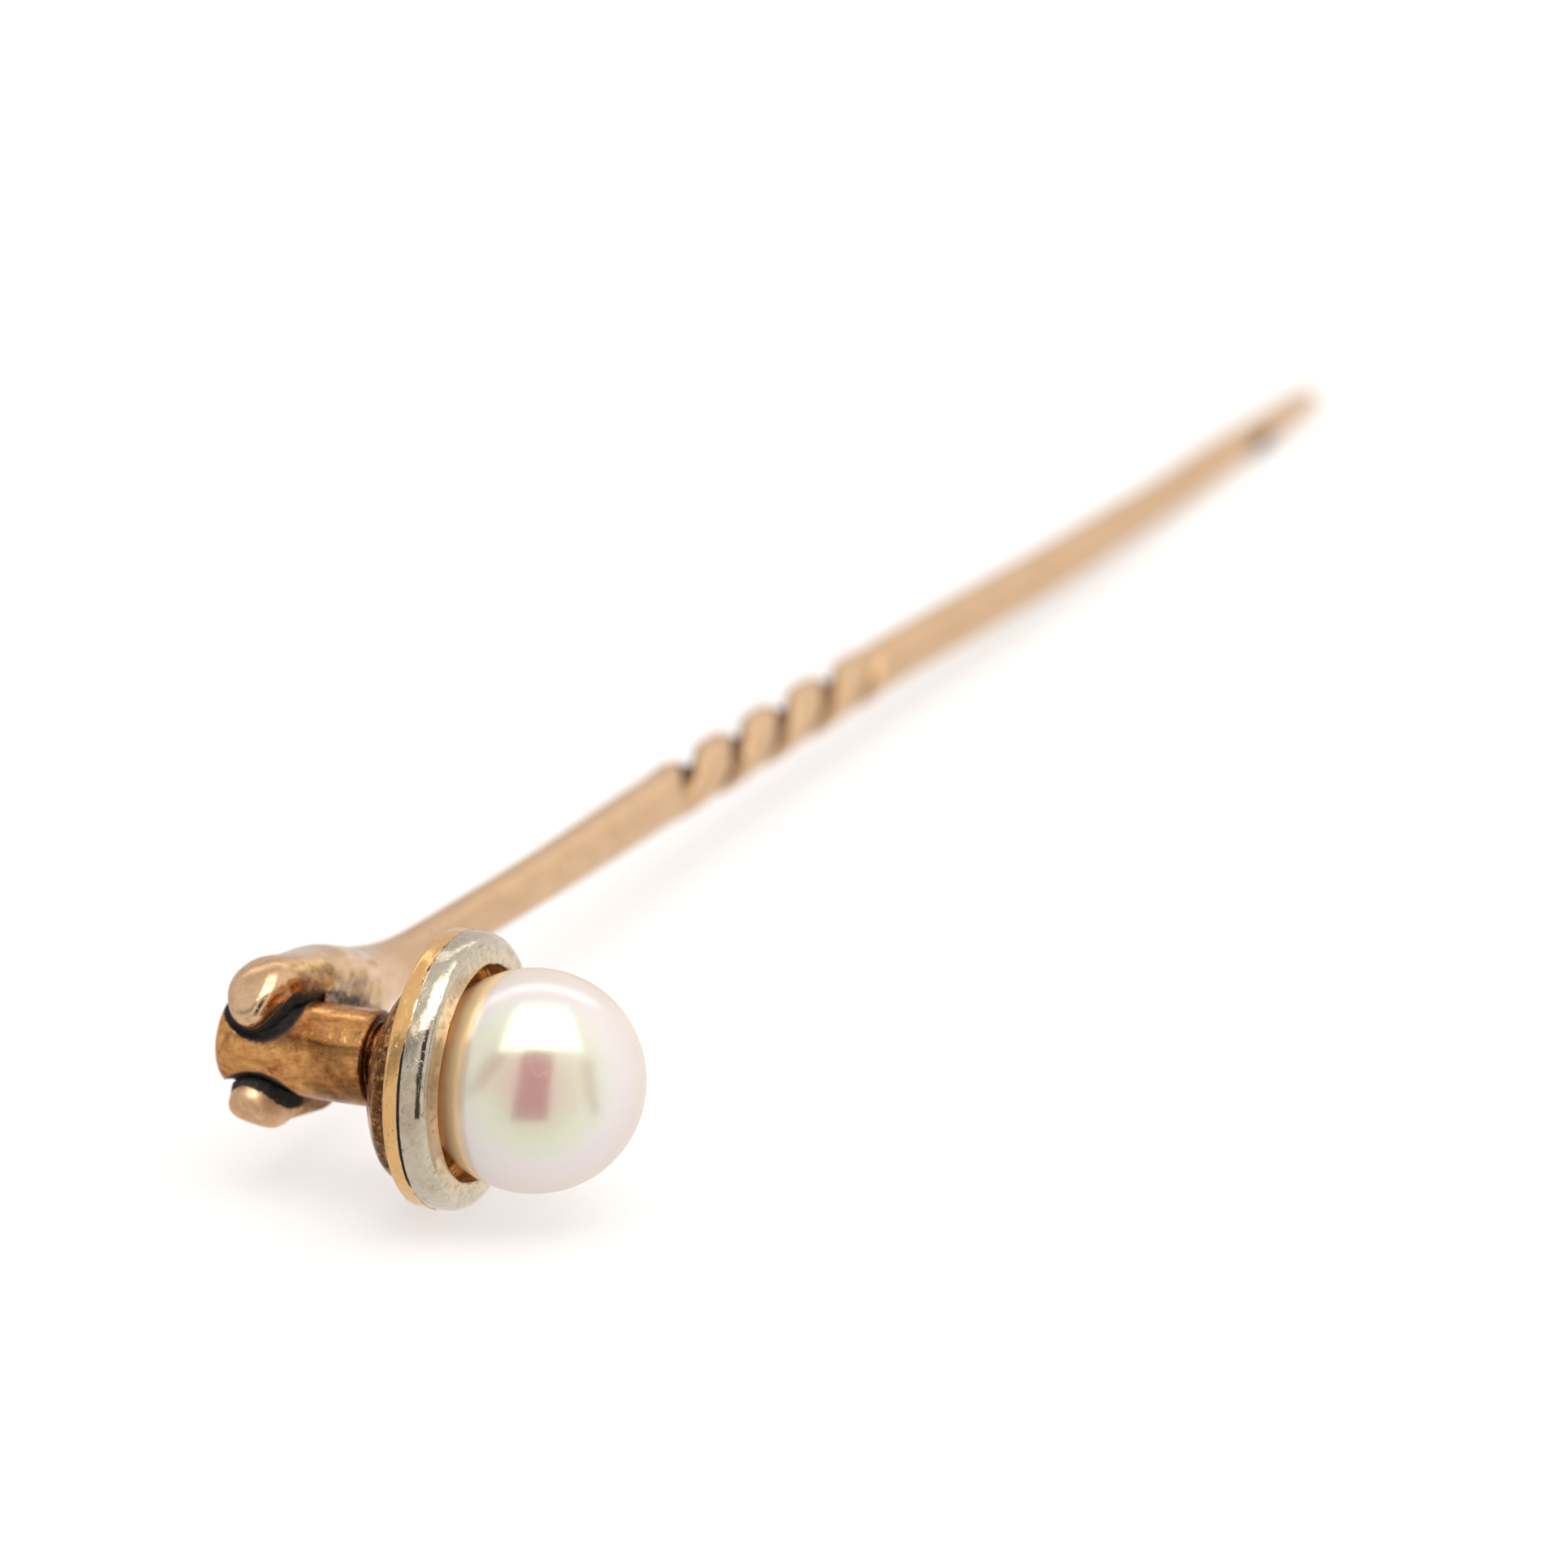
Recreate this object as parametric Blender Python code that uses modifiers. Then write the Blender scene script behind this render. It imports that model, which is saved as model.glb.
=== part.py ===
"""Hat pin: a pearl pegged in a two-colour gold cup, carried on a short cross tube in the forked head of a pin.

Metres, +Z up. The origin is the centre of the cross tube's flat back end. The head's axis runs along -Y,
from the tube through the cup and out of the pearl, and the pin runs along +X to its point. The pin lies as
it does on a table, resting on the cup's rim and on its point.
"""

import math

import bmesh
import bpy
from mathutils import Vector

MM = 0.001

# The table that the pin lies on tips it about the head's axis.
REST_TIP = math.radians(3.2)

# Everything that is soldered, cemented or pressed together keeps this gap from its neighbour.
JOINT_GAP = 0.02 * MM

# Cross tube. Stations are distances from its back end along the head's axis.
TUBE_RADIUS = 1.2 * MM
TUBE_LENGTH = 4.04 * MM
TUBE_BACK_ROUND = 0.4 * MM
TUBE_FRONT_BEVEL = 0.12 * MM
TUBE_BORE_DEPTH = 2.1 * MM

# Neck stud between the tube's bore and the cup.
STUD_RADIUS = 0.85 * MM
STUD_CHAMFER = 0.1 * MM

# Domed cup behind the collet, soldered on a little low, and the neck stud's seat on it.
CUP_DROP = 0.42 * MM
CUP_BACK_STATION = 4.3 * MM
CUP_BOSS_RADIUS = 1.35 * MM
CUP_SHOULDER_STATION = 4.84 * MM
CUP_ROUND = 0.14 * MM
CUP_RADIUS = 2.52 * MM
CUP_WALL = 0.28 * MM
CUP_FLOOR = 0.34 * MM

# Yellow collet: an upright band with a flange turned in behind the pearl.
COLLET_REAR_STATION = 5.55 * MM
COLLET_FRONT_STATION = 5.98 * MM
COLLET_RADIUS = 3.43 * MM
COLLET_INNER_RADIUS = 2.88 * MM
COLLET_FLANGE = 0.22 * MM
COLLET_FLANGE_RADIUS = 1.75 * MM
COLLET_EDGE = 0.035 * MM

# White rim in front of the collet. Each point of its rounded face is (inset, height above the seam).
RIM_FACE = (
    (0.0, 0.06 * MM),
    (0.01 * MM, 0.16 * MM),
    (0.05 * MM, 0.28 * MM),
    (0.11 * MM, 0.39 * MM),
    (0.19 * MM, 0.49 * MM),
    (0.29 * MM, 0.57 * MM),
    (0.41 * MM, 0.62 * MM),
    (0.54 * MM, 0.64 * MM),
    (0.65 * MM, 0.63 * MM),
    (0.7 * MM, 0.59 * MM),
    (0.69 * MM, 0.5 * MM),
)
RIM_RADIUS = 3.42 * MM

# Pearl, its peg and its cement.
PEARL_RADIUS = 2.75 * MM
PEARL_STATION = 8.08 * MM
PEARL_HOLE_RADIUS = 0.5 * MM
PEARL_HOLE_DEPTH = 2.4 * MM
PEG_RADIUS = 0.4 * MM
PEG_CLEAR_END = 0.15 * MM
CEMENT_PAD_RADIUS = 1.0 * MM
CEMENT_PAD_TOP_RADIUS = 1.2 * MM

# Pin. Distances along it are measured from the tube's axis.
PIN_STATION = 0.95 * MM
PIN_TIP = 62.7 * MM
PIN_LEAN = 0.076
PIN_CORE_START = 0.9 * MM

# Radius of the shaft at points along it, from the end of the fork to the point.
SHAFT_RADII = (
    (8.0 * MM, 0.59 * MM),
    (14.0 * MM, 0.59 * MM),
    (20.5 * MM, 0.64 * MM),
    (34.0 * MM, 0.61 * MM),
    (45.0 * MM, 0.57 * MM),
    (52.0 * MM, 0.49 * MM),
    (58.0 * MM, 0.38 * MM),
    (61.8 * MM, 0.16 * MM),
    (PIN_TIP, 0.04 * MM),
)

# An old pin is never quite straight: sideways sway of its centre line, positive towards the pearl.
SHAFT_SWAY = (
    (0.0, 0.0),
    (14.0 * MM, 0.0),
    (22.0 * MM, -0.2 * MM),
    (35.0 * MM, -0.19 * MM),
    (46.0 * MM, 0.11 * MM),
    (54.0 * MM, -0.09 * MM),
    (PIN_TIP, -0.45 * MM),
)

# Two grooves wind round the shaft, so that it grips the cloth.
TWIST_START = 21.6 * MM
TWIST_END = 35.0 * MM
TWIST_RUN_IN = 0.7 * MM
TWIST_RUN_OUT = 3.4 * MM
TWIST_LEAD = 5.4 * MM
TWIST_STARTS = 2
TWIST_PHASE = math.radians(20.0)
GROOVE_DEPTH = 0.33
GROOVE_WIDTH = 0.3

# Shoulder where the shaft swells into the fork: distance, half width, half height and squareness.
SHOULDER = (
    (PIN_CORE_START, 1.05 * MM, 1.5 * MM, 2.6),
    (2.0 * MM, 1.05 * MM, 1.46 * MM, 2.6),
    (3.2 * MM, 1.03 * MM, 1.34 * MM, 2.5),
    (4.4 * MM, 0.95 * MM, 1.08 * MM, 2.3),
    (5.6 * MM, 0.79 * MM, 0.84 * MM, 2.1),
    (6.8 * MM, 0.66 * MM, 0.67 * MM, 2.0),
    (8.0 * MM, 0.59 * MM, 0.59 * MM, 2.0),
)

# Fork: each lobe leaves the shoulder, passes over the tube and narrows to a rounded tip beyond it.
LOBE_OFFSET = 0.33 * MM
LOBE_TIP_OFFSET = 0.1 * MM
LOBE_HALF_WIDTH = 1.12 * MM
LOBE_TIP_HALF_WIDTH = 0.86 * MM
LOBE_HALF_THICKNESS = 0.74 * MM
LOBE_CENTRE_RADIUS = 1.33 * MM
LOBE_TIP_ANGLE = math.radians(57.0)
LOBE_TIP_ROUND = math.radians(40.0)
LOBE_NARROWING = math.radians(34.0)
LOBE_STEPS = 16
LOBE_APPROACH = (
    (5.2 * MM, 0.2 * MM, 0.74 * MM, 0.48 * MM),
    (4.2 * MM, 0.46 * MM, 0.9 * MM, 0.62 * MM),
    (3.2 * MM, 0.79 * MM, 1.02 * MM, 0.7 * MM),
    (2.2 * MM, 1.1 * MM, 1.09 * MM, 0.74 * MM),
    (1.1 * MM, 1.29 * MM, LOBE_HALF_WIDTH, LOBE_HALF_THICKNESS),
)

# Solder run into the corner between the fork and the tube, on the side towards the pearl.
SOLDER_WIDTH = 0.42 * MM
SOLDER_HEIGHT = 0.36 * MM
SOLDER_HALF_TURN = math.radians(62.0)

# Facets round each kind of piece.
WIDE_STEPS = 80
TUBE_STEPS = 48
PEG_STEPS = 24
SHAFT_SIDES = 24
LOBE_SIDES = 20
ROUND_SEGMENTS = 8
PEARL_SEGMENTS = 24

MERGE = 1e-7
SMOOTH_ANGLE = math.radians(35.0)

# Name, colour, roughness and metallic of each material.
MATERIALS = {
    "rose_gold": ((0.80, 0.50, 0.34), 0.22, 1.0),
    "tube_gold": ((0.66, 0.42, 0.22), 0.30, 1.0),
    "yellow_gold": ((0.84, 0.60, 0.32), 0.22, 1.0),
    "cup_gold": ((0.52, 0.34, 0.20), 0.45, 1.0),
    "white_gold": ((0.74, 0.71, 0.64), 0.20, 1.0),
    "solder": ((0.33, 0.25, 0.22), 0.60, 1.0),
    "pearl": ((0.88, 0.83, 0.78), 0.22, 0.0),
    "cement": ((0.72, 0.64, 0.50), 0.70, 0.0),
}


def clear_scene():
    for obj in list(bpy.data.objects):
        bpy.data.objects.remove(obj)


def new_collection(name):
    collection = bpy.data.collections.new(name)
    bpy.context.scene.collection.children.link(collection)
    return collection


def new_materials():
    made = {}
    for name, (colour, roughness, metallic) in MATERIALS.items():
        material = bpy.data.materials.new(name)
        material.use_nodes = True
        shader = material.node_tree.nodes["Principled BSDF"]
        shader.inputs["Base Color"].default_value = (*colour, 1.0)
        shader.inputs["Roughness"].default_value = roughness
        shader.inputs["Metallic"].default_value = metallic
        material.diffuse_color = (*colour, 1.0)
        made[name] = material
    return made


def new_object(name, vertices, edges, faces, collection, parent):
    mesh = bpy.data.meshes.new(name)
    mesh.from_pydata(vertices, edges, faces)
    mesh.update()
    obj = bpy.data.objects.new(name, mesh)
    collection.objects.link(obj)
    obj.parent = parent
    return obj


def outward(obj):
    """Turns every face of a closed mesh to look outwards."""
    work = bmesh.new()
    work.from_mesh(obj.data)
    bmesh.ops.recalc_face_normals(work, faces=work.faces)
    work.to_mesh(obj.data)
    work.free()


def shade_smooth(obj):
    for polygon in obj.data.polygons:
        polygon.use_smooth = True
    obj.data.set_sharp_from_angle(angle=SMOOTH_ANGLE)


def turned(name, profile, steps, closed, material, collection, parent):
    """Turns a profile of (radius, station) points about the head's axis."""
    points = [(radius, 0.0, station) for radius, station in profile]
    edges = [(i, i + 1) for i in range(len(points) - 1)]
    if closed:
        edges.append((len(points) - 1, 0))
    obj = new_object(name, points, edges, [], collection, parent)
    obj.data.materials.append(material)
    screw = obj.modifiers.new("turn", "SCREW")
    screw.axis = "Z"
    screw.steps = steps
    screw.render_steps = steps
    screw.use_merge_vertices = True
    screw.merge_threshold = MERGE
    screw.use_smooth_shade = True
    obj.rotation_euler = (math.radians(90.0), 0.0, 0.0)
    return obj


def arc(centre, radius, start, end, segments):
    """Points of (radius, station) on an arc, angles in radians from the +radius direction."""
    found = []
    for i in range(segments + 1):
        angle = start + (end - start) * i / segments
        found.append((centre[0] + radius * math.cos(angle), centre[1] + radius * math.sin(angle)))
    return found


def loft(name, rings, collection, parent):
    """Skins a list of rings, each a list of points, and closes both ends."""
    sides = len(rings[0])
    vertices = [point for ring in rings for point in ring]
    faces = []
    for i in range(len(rings) - 1):
        for j in range(sides):
            k = (j + 1) % sides
            faces.append((i * sides + j, i * sides + k, (i + 1) * sides + k, (i + 1) * sides + j))
    faces.append(tuple(range(sides)))
    last = (len(rings) - 1) * sides
    faces.append(tuple(last + j for j in reversed(range(sides))))
    obj = new_object(name, vertices, [], faces, collection, parent)
    outward(obj)
    return obj


def between(knots, where, column=1):
    """Smooth value of a column of knots at a distance, by cubic interpolation between knots."""
    last = len(knots) - 1
    i = 0
    while i < last - 1 and knots[i + 1][0] < where:
        i += 1
    span = knots[i + 1][0] - knots[i][0]
    t = min(1.0, max(0.0, (where - knots[i][0]) / span))

    def slope(k):
        low = max(0, k - 1)
        high = min(last, k + 1)
        return (knots[high][column] - knots[low][column]) / (knots[high][0] - knots[low][0])

    start = knots[i][column]
    end = knots[i + 1][column]
    return (
        (1 + 2 * t) * (1 - t) ** 2 * start
        + t * (1 - t) ** 2 * span * slope(i)
        + t * t * (3 - 2 * t) * end
        + t * t * (t - 1) * span * slope(i + 1)
    )


def ease(t):
    t = min(1.0, max(0.0, t))
    return t * t * (3 - 2 * t)


def pin_centre_y(x):
    """The pin's centre line leans towards the pearl, and inside the fork it meets the lobes' centre."""
    in_fork = LOBE_OFFSET * (1 - ease(x / SHOULDER[4][0]))
    return -(PIN_STATION + PIN_LEAN * x + in_fork + between(SHAFT_SWAY, x))


def groove(x, angle):
    """Share of the radius that the twist removes at this distance and angle round the shaft."""
    depth = ease((x - TWIST_START) / TWIST_RUN_IN) * ease((TWIST_END - x) / TWIST_RUN_OUT)
    across = math.sin(angle * TWIST_STARTS / 2) / GROOVE_WIDTH
    return GROOVE_DEPTH * depth * math.exp(-across * across)


def pin_ring(x):
    """One cross-section of the pin, at distance x from the tube's axis."""
    if x < SHOULDER[-1][0]:
        width, height, square = (between(SHOULDER, x, column) for column in (1, 2, 3))
    else:
        width = height = between(SHAFT_RADII, x)
        square = 2.0
    turn = -2 * math.pi * min(max(x - TWIST_START, 0.0), TWIST_END - TWIST_START) / TWIST_LEAD
    centre_y = pin_centre_y(x)
    ring = []
    for j in range(SHAFT_SIDES):
        around = 2 * math.pi * j / SHAFT_SIDES
        keep = 1 - groove(x, around)
        angle = around + (turn + TWIST_PHASE if x > TWIST_START else TWIST_PHASE)
        c = math.cos(angle)
        s = math.sin(angle)
        y = width * keep * math.copysign(abs(c) ** (2 / square), c)
        z = height * keep * math.copysign(abs(s) ** (2 / square), s)
        ring.append((x, centre_y + y, z))
    return ring


def pin_stations():
    """Distances of the pin's cross-sections: close together in the shoulder, the twist and the point."""
    stations = []
    x = PIN_CORE_START
    while x < PIN_TIP:
        stations.append(x)
        if x < SHOULDER[-1][0]:
            x += 0.4 * MM
        elif TWIST_START - 0.3 * MM < x < TWIST_END:
            x += 0.22 * MM
        elif x > 61.0 * MM:
            x += 0.3 * MM
        else:
            x += 1.6 * MM
    stations.append(PIN_TIP)
    return stations


def lobe_path():
    """Centre (x, z), half width, half thickness and offset of the lobe's sections, from shoulder to tip."""
    path = []
    for x, z, half_width, half_thickness in LOBE_APPROACH:
        path.append((Vector((x, z)), half_width, half_thickness, LOBE_OFFSET))
    for i in range(LOBE_STEPS + 1):
        angle = LOBE_TIP_ANGLE * i / LOBE_STEPS
        centre = LOBE_CENTRE_RADIUS * Vector((-math.sin(angle), math.cos(angle)))
        narrow = ease(angle / LOBE_NARROWING)
        into_tip = max(0.0, (angle - LOBE_TIP_ANGLE + LOBE_TIP_ROUND) / LOBE_TIP_ROUND)
        shrink = math.sqrt(1 - min(into_tip, 0.995) ** 2)
        half_width = LOBE_HALF_WIDTH + (LOBE_TIP_HALF_WIDTH - LOBE_HALF_WIDTH) * narrow
        offset = LOBE_OFFSET + (LOBE_TIP_OFFSET - LOBE_OFFSET) * narrow
        path.append((centre, half_width * shrink, LOBE_HALF_THICKNESS * shrink, offset))
    return path


def lobe_rings(side):
    """Cross-sections of the lobe above (side 1) or below (side -1) the tube."""
    path = lobe_path()
    rings = []
    for i, (centre, half_width, half_thickness, offset) in enumerate(path):
        ahead = path[min(i + 1, len(path) - 1)][0]
        behind = path[max(i - 1, 0)][0]
        along = (ahead - behind).normalized()
        across = Vector((along.y, -along.x))
        if across.y < 0:
            across = -across
        ring = []
        for j in range(LOBE_SIDES):
            turn = 2 * math.pi * j / LOBE_SIDES
            lift = half_thickness * math.sin(turn)
            x = centre.x + across.x * lift
            y = half_width * math.cos(turn) - PIN_STATION - offset
            ring.append((x, y, side * (centre.y + across.y * lift)))
        rings.append(ring)
    return rings


def boolean(obj, other, operation):
    modifier = obj.modifiers.new(operation.lower(), "BOOLEAN")
    modifier.object = other
    modifier.operation = operation
    modifier.solver = "EXACT"


def build_stem(material, parts, cutters, parent):
    """The pin and its fork are one forging, with the cross tube's seat cut through the fork."""
    stem = loft("pin_stem", [pin_ring(x) for x in pin_stations()], parts, parent)
    stem.data.materials.append(material)
    for side, name in ((1, "upper_lobe"), (-1, "lower_lobe")):
        lobe = loft(name, lobe_rings(side), cutters, parent)
        boolean(stem, lobe, "UNION")
    seat_radius = TUBE_RADIUS + JOINT_GAP
    over = TUBE_LENGTH
    seat = turned(
        "tube_seat",
        [(0.0, TUBE_LENGTH + over), (seat_radius, TUBE_LENGTH + over), (seat_radius, -over), (0.0, -over)],
        TUBE_STEPS,
        False,
        material,
        cutters,
        parent,
    )
    boolean(stem, seat, "DIFFERENCE")
    shade_smooth(stem)
    return stem


def tube_profile():
    bore = STUD_RADIUS + JOINT_GAP
    floor = TUBE_LENGTH - TUBE_BORE_DEPTH
    edge = TUBE_FRONT_BEVEL
    points = [
        (0.0, floor),
        (bore, floor),
        (bore, TUBE_LENGTH - 0.5 * edge),
        (bore + 0.5 * edge, TUBE_LENGTH),
        (TUBE_RADIUS - edge, TUBE_LENGTH),
        (TUBE_RADIUS, TUBE_LENGTH - edge),
    ]
    corner = (TUBE_RADIUS - TUBE_BACK_ROUND, TUBE_BACK_ROUND)
    points += arc(corner, TUBE_BACK_ROUND, 0.0, -math.pi / 2, ROUND_SEGMENTS)
    points.append((0.0, 0.0))
    return points


def stud_profile():
    top = CUP_BACK_STATION - JOINT_GAP
    low = TUBE_LENGTH - TUBE_BORE_DEPTH + JOINT_GAP
    return [
        (0.0, top),
        (STUD_RADIUS, top),
        (STUD_RADIUS, low + STUD_CHAMFER),
        (STUD_RADIUS - STUD_CHAMFER, low),
        (0.0, low),
    ]


def cup_profile():
    """From the middle of the floor, up the inside of the wall, over its edge and down the domed outside."""
    floor = CUP_BACK_STATION + CUP_FLOOR
    inner = CUP_RADIUS - CUP_WALL
    front = COLLET_REAR_STATION - JOINT_GAP
    points = [
        (0.0, floor),
        (CUP_BOSS_RADIUS, floor),
        (inner, CUP_SHOULDER_STATION + 0.3 * CUP_WALL),
        (inner, front),
        (CUP_RADIUS, front),
    ]
    corner = (CUP_RADIUS - CUP_ROUND, CUP_SHOULDER_STATION + CUP_ROUND)
    points += arc(corner, CUP_ROUND, 0.0, math.radians(-65.0), 4)
    middle_radius = 0.5 * (CUP_RADIUS + CUP_BOSS_RADIUS)
    middle_station = 0.5 * (CUP_SHOULDER_STATION + CUP_BACK_STATION) - 0.5 * CUP_ROUND
    points += [(middle_radius, middle_station), (CUP_BOSS_RADIUS, CUP_BACK_STATION), (0.0, CUP_BACK_STATION)]
    return points


def collet_profile():
    rear = COLLET_REAR_STATION
    front = COLLET_FRONT_STATION
    return [
        (COLLET_INNER_RADIUS, front),
        (COLLET_RADIUS - COLLET_EDGE, front),
        (COLLET_RADIUS, front - COLLET_EDGE),
        (COLLET_RADIUS, rear + COLLET_EDGE),
        (COLLET_RADIUS - COLLET_EDGE, rear),
        (COLLET_FLANGE_RADIUS, rear),
        (COLLET_FLANGE_RADIUS, rear + COLLET_FLANGE),
        (COLLET_INNER_RADIUS, rear + COLLET_FLANGE),
    ]


def rim_profile():
    """A half-round section: flat against the collet, rolling over from the outside to the inner edge."""
    seam = COLLET_FRONT_STATION + JOINT_GAP
    points = [(RIM_RADIUS - inset, seam + height) for inset, height in reversed(RIM_FACE)]
    points += [
        (RIM_RADIUS - 2 * JOINT_GAP, seam),
        (COLLET_INNER_RADIUS, seam),
        (COLLET_INNER_RADIUS, seam + COLLET_FLANGE),
    ]
    return points


def pearl_profile():
    """The pearl is drilled from behind for its peg."""
    mouth = -math.acos(PEARL_HOLE_RADIUS / PEARL_RADIUS)
    outside = arc((0.0, PEARL_STATION), PEARL_RADIUS, math.pi / 2, mouth, PEARL_SEGMENTS)
    outside[0] = (0.0, outside[0][1])
    end = PEARL_STATION - PEARL_RADIUS + PEARL_HOLE_DEPTH
    return outside + [(PEARL_HOLE_RADIUS, end), (0.0, end)]


def peg_profile():
    top = PEARL_STATION - PEARL_RADIUS + PEARL_HOLE_DEPTH - PEG_CLEAR_END
    low = CUP_BACK_STATION + CUP_FLOOR + JOINT_GAP
    edge = 0.2 * PEG_RADIUS
    return [(0.0, top), (PEG_RADIUS - edge, top), (PEG_RADIUS, top - edge), (PEG_RADIUS, low), (0.0, low)]


def cement_profile():
    """A pad under the pearl with a thin sleeve round the peg, both following the pearl."""
    inner = PEG_RADIUS + JOINT_GAP
    sleeve = PEARL_HOLE_RADIUS - JOINT_GAP
    under = PEARL_RADIUS + JOINT_GAP
    low = CUP_BACK_STATION + CUP_FLOOR + JOINT_GAP
    top = PEARL_STATION - PEARL_RADIUS + PEARL_HOLE_DEPTH - 2 * PEG_CLEAR_END
    start = -math.acos(sleeve / under)
    end = -math.acos(CEMENT_PAD_TOP_RADIUS / under)
    points = [(inner, top), (sleeve, top)]
    points += arc((0.0, PEARL_STATION), under, start, end, 5)
    points += [(CEMENT_PAD_RADIUS, low), (inner, low)]
    return points


def build_solder(material, parts, parent):
    """A fillet of solder in the corner between the fork's side and the tube, round the tube's far side."""
    foot = TUBE_RADIUS + JOINT_GAP
    corner_y = -(PIN_STATION + LOBE_OFFSET + LOBE_HALF_WIDTH + JOINT_GAP)
    steps = 20
    rings = []
    for i in range(steps + 1):
        angle = SOLDER_HALF_TURN * (2 * i / steps - 1)
        size = math.sqrt(max(0.02, 1 - (2 * i / steps - 1) ** 6))
        section = [
            (foot, 0.0),
            (foot, -SOLDER_WIDTH * size),
            (foot + 0.12 * SOLDER_HEIGHT, -SOLDER_WIDTH * size * 0.85),
            (foot + 0.42 * SOLDER_HEIGHT * size, -SOLDER_WIDTH * 0.38 * size),
            (foot + 0.85 * SOLDER_HEIGHT * size, -SOLDER_WIDTH * 0.1 * size),
            (foot + SOLDER_HEIGHT * size, 0.0),
        ]
        rings.append([(r * math.cos(angle), corner_y + y, r * math.sin(angle)) for r, y in section])
    solder = loft("fork_solder", rings, parts, parent)
    solder.data.materials.append(material)
    shade_smooth(solder)
    return solder


def build():
    clear_scene()
    parts = new_collection("hat_pin")
    cutters = new_collection("hat_pin_cutters")
    materials = new_materials()
    head = bpy.data.objects.new("head_frame", None)
    parts.objects.link(head)
    head.rotation_euler = (0.0, REST_TIP, 0.0)

    build_stem(materials["rose_gold"], parts, cutters, head)
    build_solder(materials["solder"], parts, head)
    pieces = (
        ("socket_tube", tube_profile(), TUBE_STEPS, False, "tube_gold"),
        ("neck_stud", stud_profile(), TUBE_STEPS, False, "cup_gold"),
        ("back_cup", cup_profile(), WIDE_STEPS, False, "cup_gold"),
        ("gold_collet", collet_profile(), WIDE_STEPS, True, "yellow_gold"),
        ("white_rim", rim_profile(), WIDE_STEPS, True, "white_gold"),
        ("pearl", pearl_profile(), WIDE_STEPS, False, "pearl"),
        ("pearl_peg", peg_profile(), PEG_STEPS, False, "yellow_gold"),
        ("pearl_cement", cement_profile(), PEG_STEPS, True, "cement"),
    )
    for name, profile, steps, closed, material in pieces:
        turned(name, profile, steps, closed, materials[material], parts, head)
    bpy.data.objects["back_cup"].location.z = -CUP_DROP

    for cutter in cutters.objects:
        cutter.hide_render = True
        cutter.display_type = "WIRE"


build()
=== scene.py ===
"""Looks of the hat pin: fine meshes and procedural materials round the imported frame.

Shapes are built in millimetres in the pin's own frame, where the head's axis is level along -Y and the pin
runs along +X. Each object is then turned about Y by the angle at which the pin rests on the table.
A station is a distance from the cross tube's back end along the head's axis.
"""

import math

import bmesh
import bpy
from mathutils import Matrix, Vector, noise


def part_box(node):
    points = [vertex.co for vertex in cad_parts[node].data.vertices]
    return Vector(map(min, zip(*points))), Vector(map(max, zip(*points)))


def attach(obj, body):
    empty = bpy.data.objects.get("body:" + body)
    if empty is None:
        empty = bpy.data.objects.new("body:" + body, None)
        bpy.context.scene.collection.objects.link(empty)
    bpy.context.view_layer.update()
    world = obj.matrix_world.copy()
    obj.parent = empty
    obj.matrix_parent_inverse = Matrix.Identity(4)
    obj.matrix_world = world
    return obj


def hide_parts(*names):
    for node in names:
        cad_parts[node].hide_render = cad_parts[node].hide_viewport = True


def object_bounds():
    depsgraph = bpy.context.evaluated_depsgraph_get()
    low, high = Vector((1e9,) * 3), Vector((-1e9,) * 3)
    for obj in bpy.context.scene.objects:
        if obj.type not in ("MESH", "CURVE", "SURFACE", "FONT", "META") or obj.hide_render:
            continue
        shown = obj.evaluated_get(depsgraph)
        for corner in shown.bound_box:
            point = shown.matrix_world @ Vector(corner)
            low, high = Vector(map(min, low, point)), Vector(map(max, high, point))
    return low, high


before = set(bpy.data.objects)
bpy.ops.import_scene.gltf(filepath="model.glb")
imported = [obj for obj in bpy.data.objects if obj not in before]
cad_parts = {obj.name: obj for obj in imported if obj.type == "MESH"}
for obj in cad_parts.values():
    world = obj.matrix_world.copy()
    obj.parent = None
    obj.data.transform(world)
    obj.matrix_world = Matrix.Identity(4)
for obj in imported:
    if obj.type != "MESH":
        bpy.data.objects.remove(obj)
cad_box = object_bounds()

MM = 0.001


# ---------------------------------------------------------------- sizes, from the frame

def turned_size(node):
    """Radius, lowest station and highest station of a node turned about the head's axis, in millimetres."""
    low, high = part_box(node)
    return (high[2] - low[2]) / 2 / MM, -high[1] / MM, -low[1] / MM


stem_low, stem_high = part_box("pin_stem")
REST_TIP = math.atan2(-stem_low[2], stem_high[0])
TO_ROW = Matrix.Rotation(REST_TIP, 4, "Y")
TABLE_Z = cad_box[0][2]

TUBE_RADIUS, TUBE_BACK, TUBE_FRONT = turned_size("socket_tube")
CUP_RADIUS, CUP_BACK, CUP_FRONT = turned_size("back_cup")
COLLET_RADIUS, COLLET_REAR, COLLET_FRONT = turned_size("gold_collet")
RIM_RADIUS, RIM_SEAM, RIM_FRONT = turned_size("white_rim")
PEARL_RADIUS, PEARL_REAR, PEARL_FRONT = turned_size("pearl")
STUD_RADIUS, STUD_BACK, STUD_FRONT = turned_size("neck_stud")
PEARL_STATION = PEARL_FRONT - PEARL_RADIUS
cup_low, cup_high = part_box("back_cup")
CUP_DROP = -(cup_low[2] + cup_high[2]) / 2 / MM / math.cos(REST_TIP)
PIN_TIP = stem_high[0] / MM / math.cos(REST_TIP) + 0.6
PIN_LEAN = 0.076
PIN_STATION = 0.95

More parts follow.
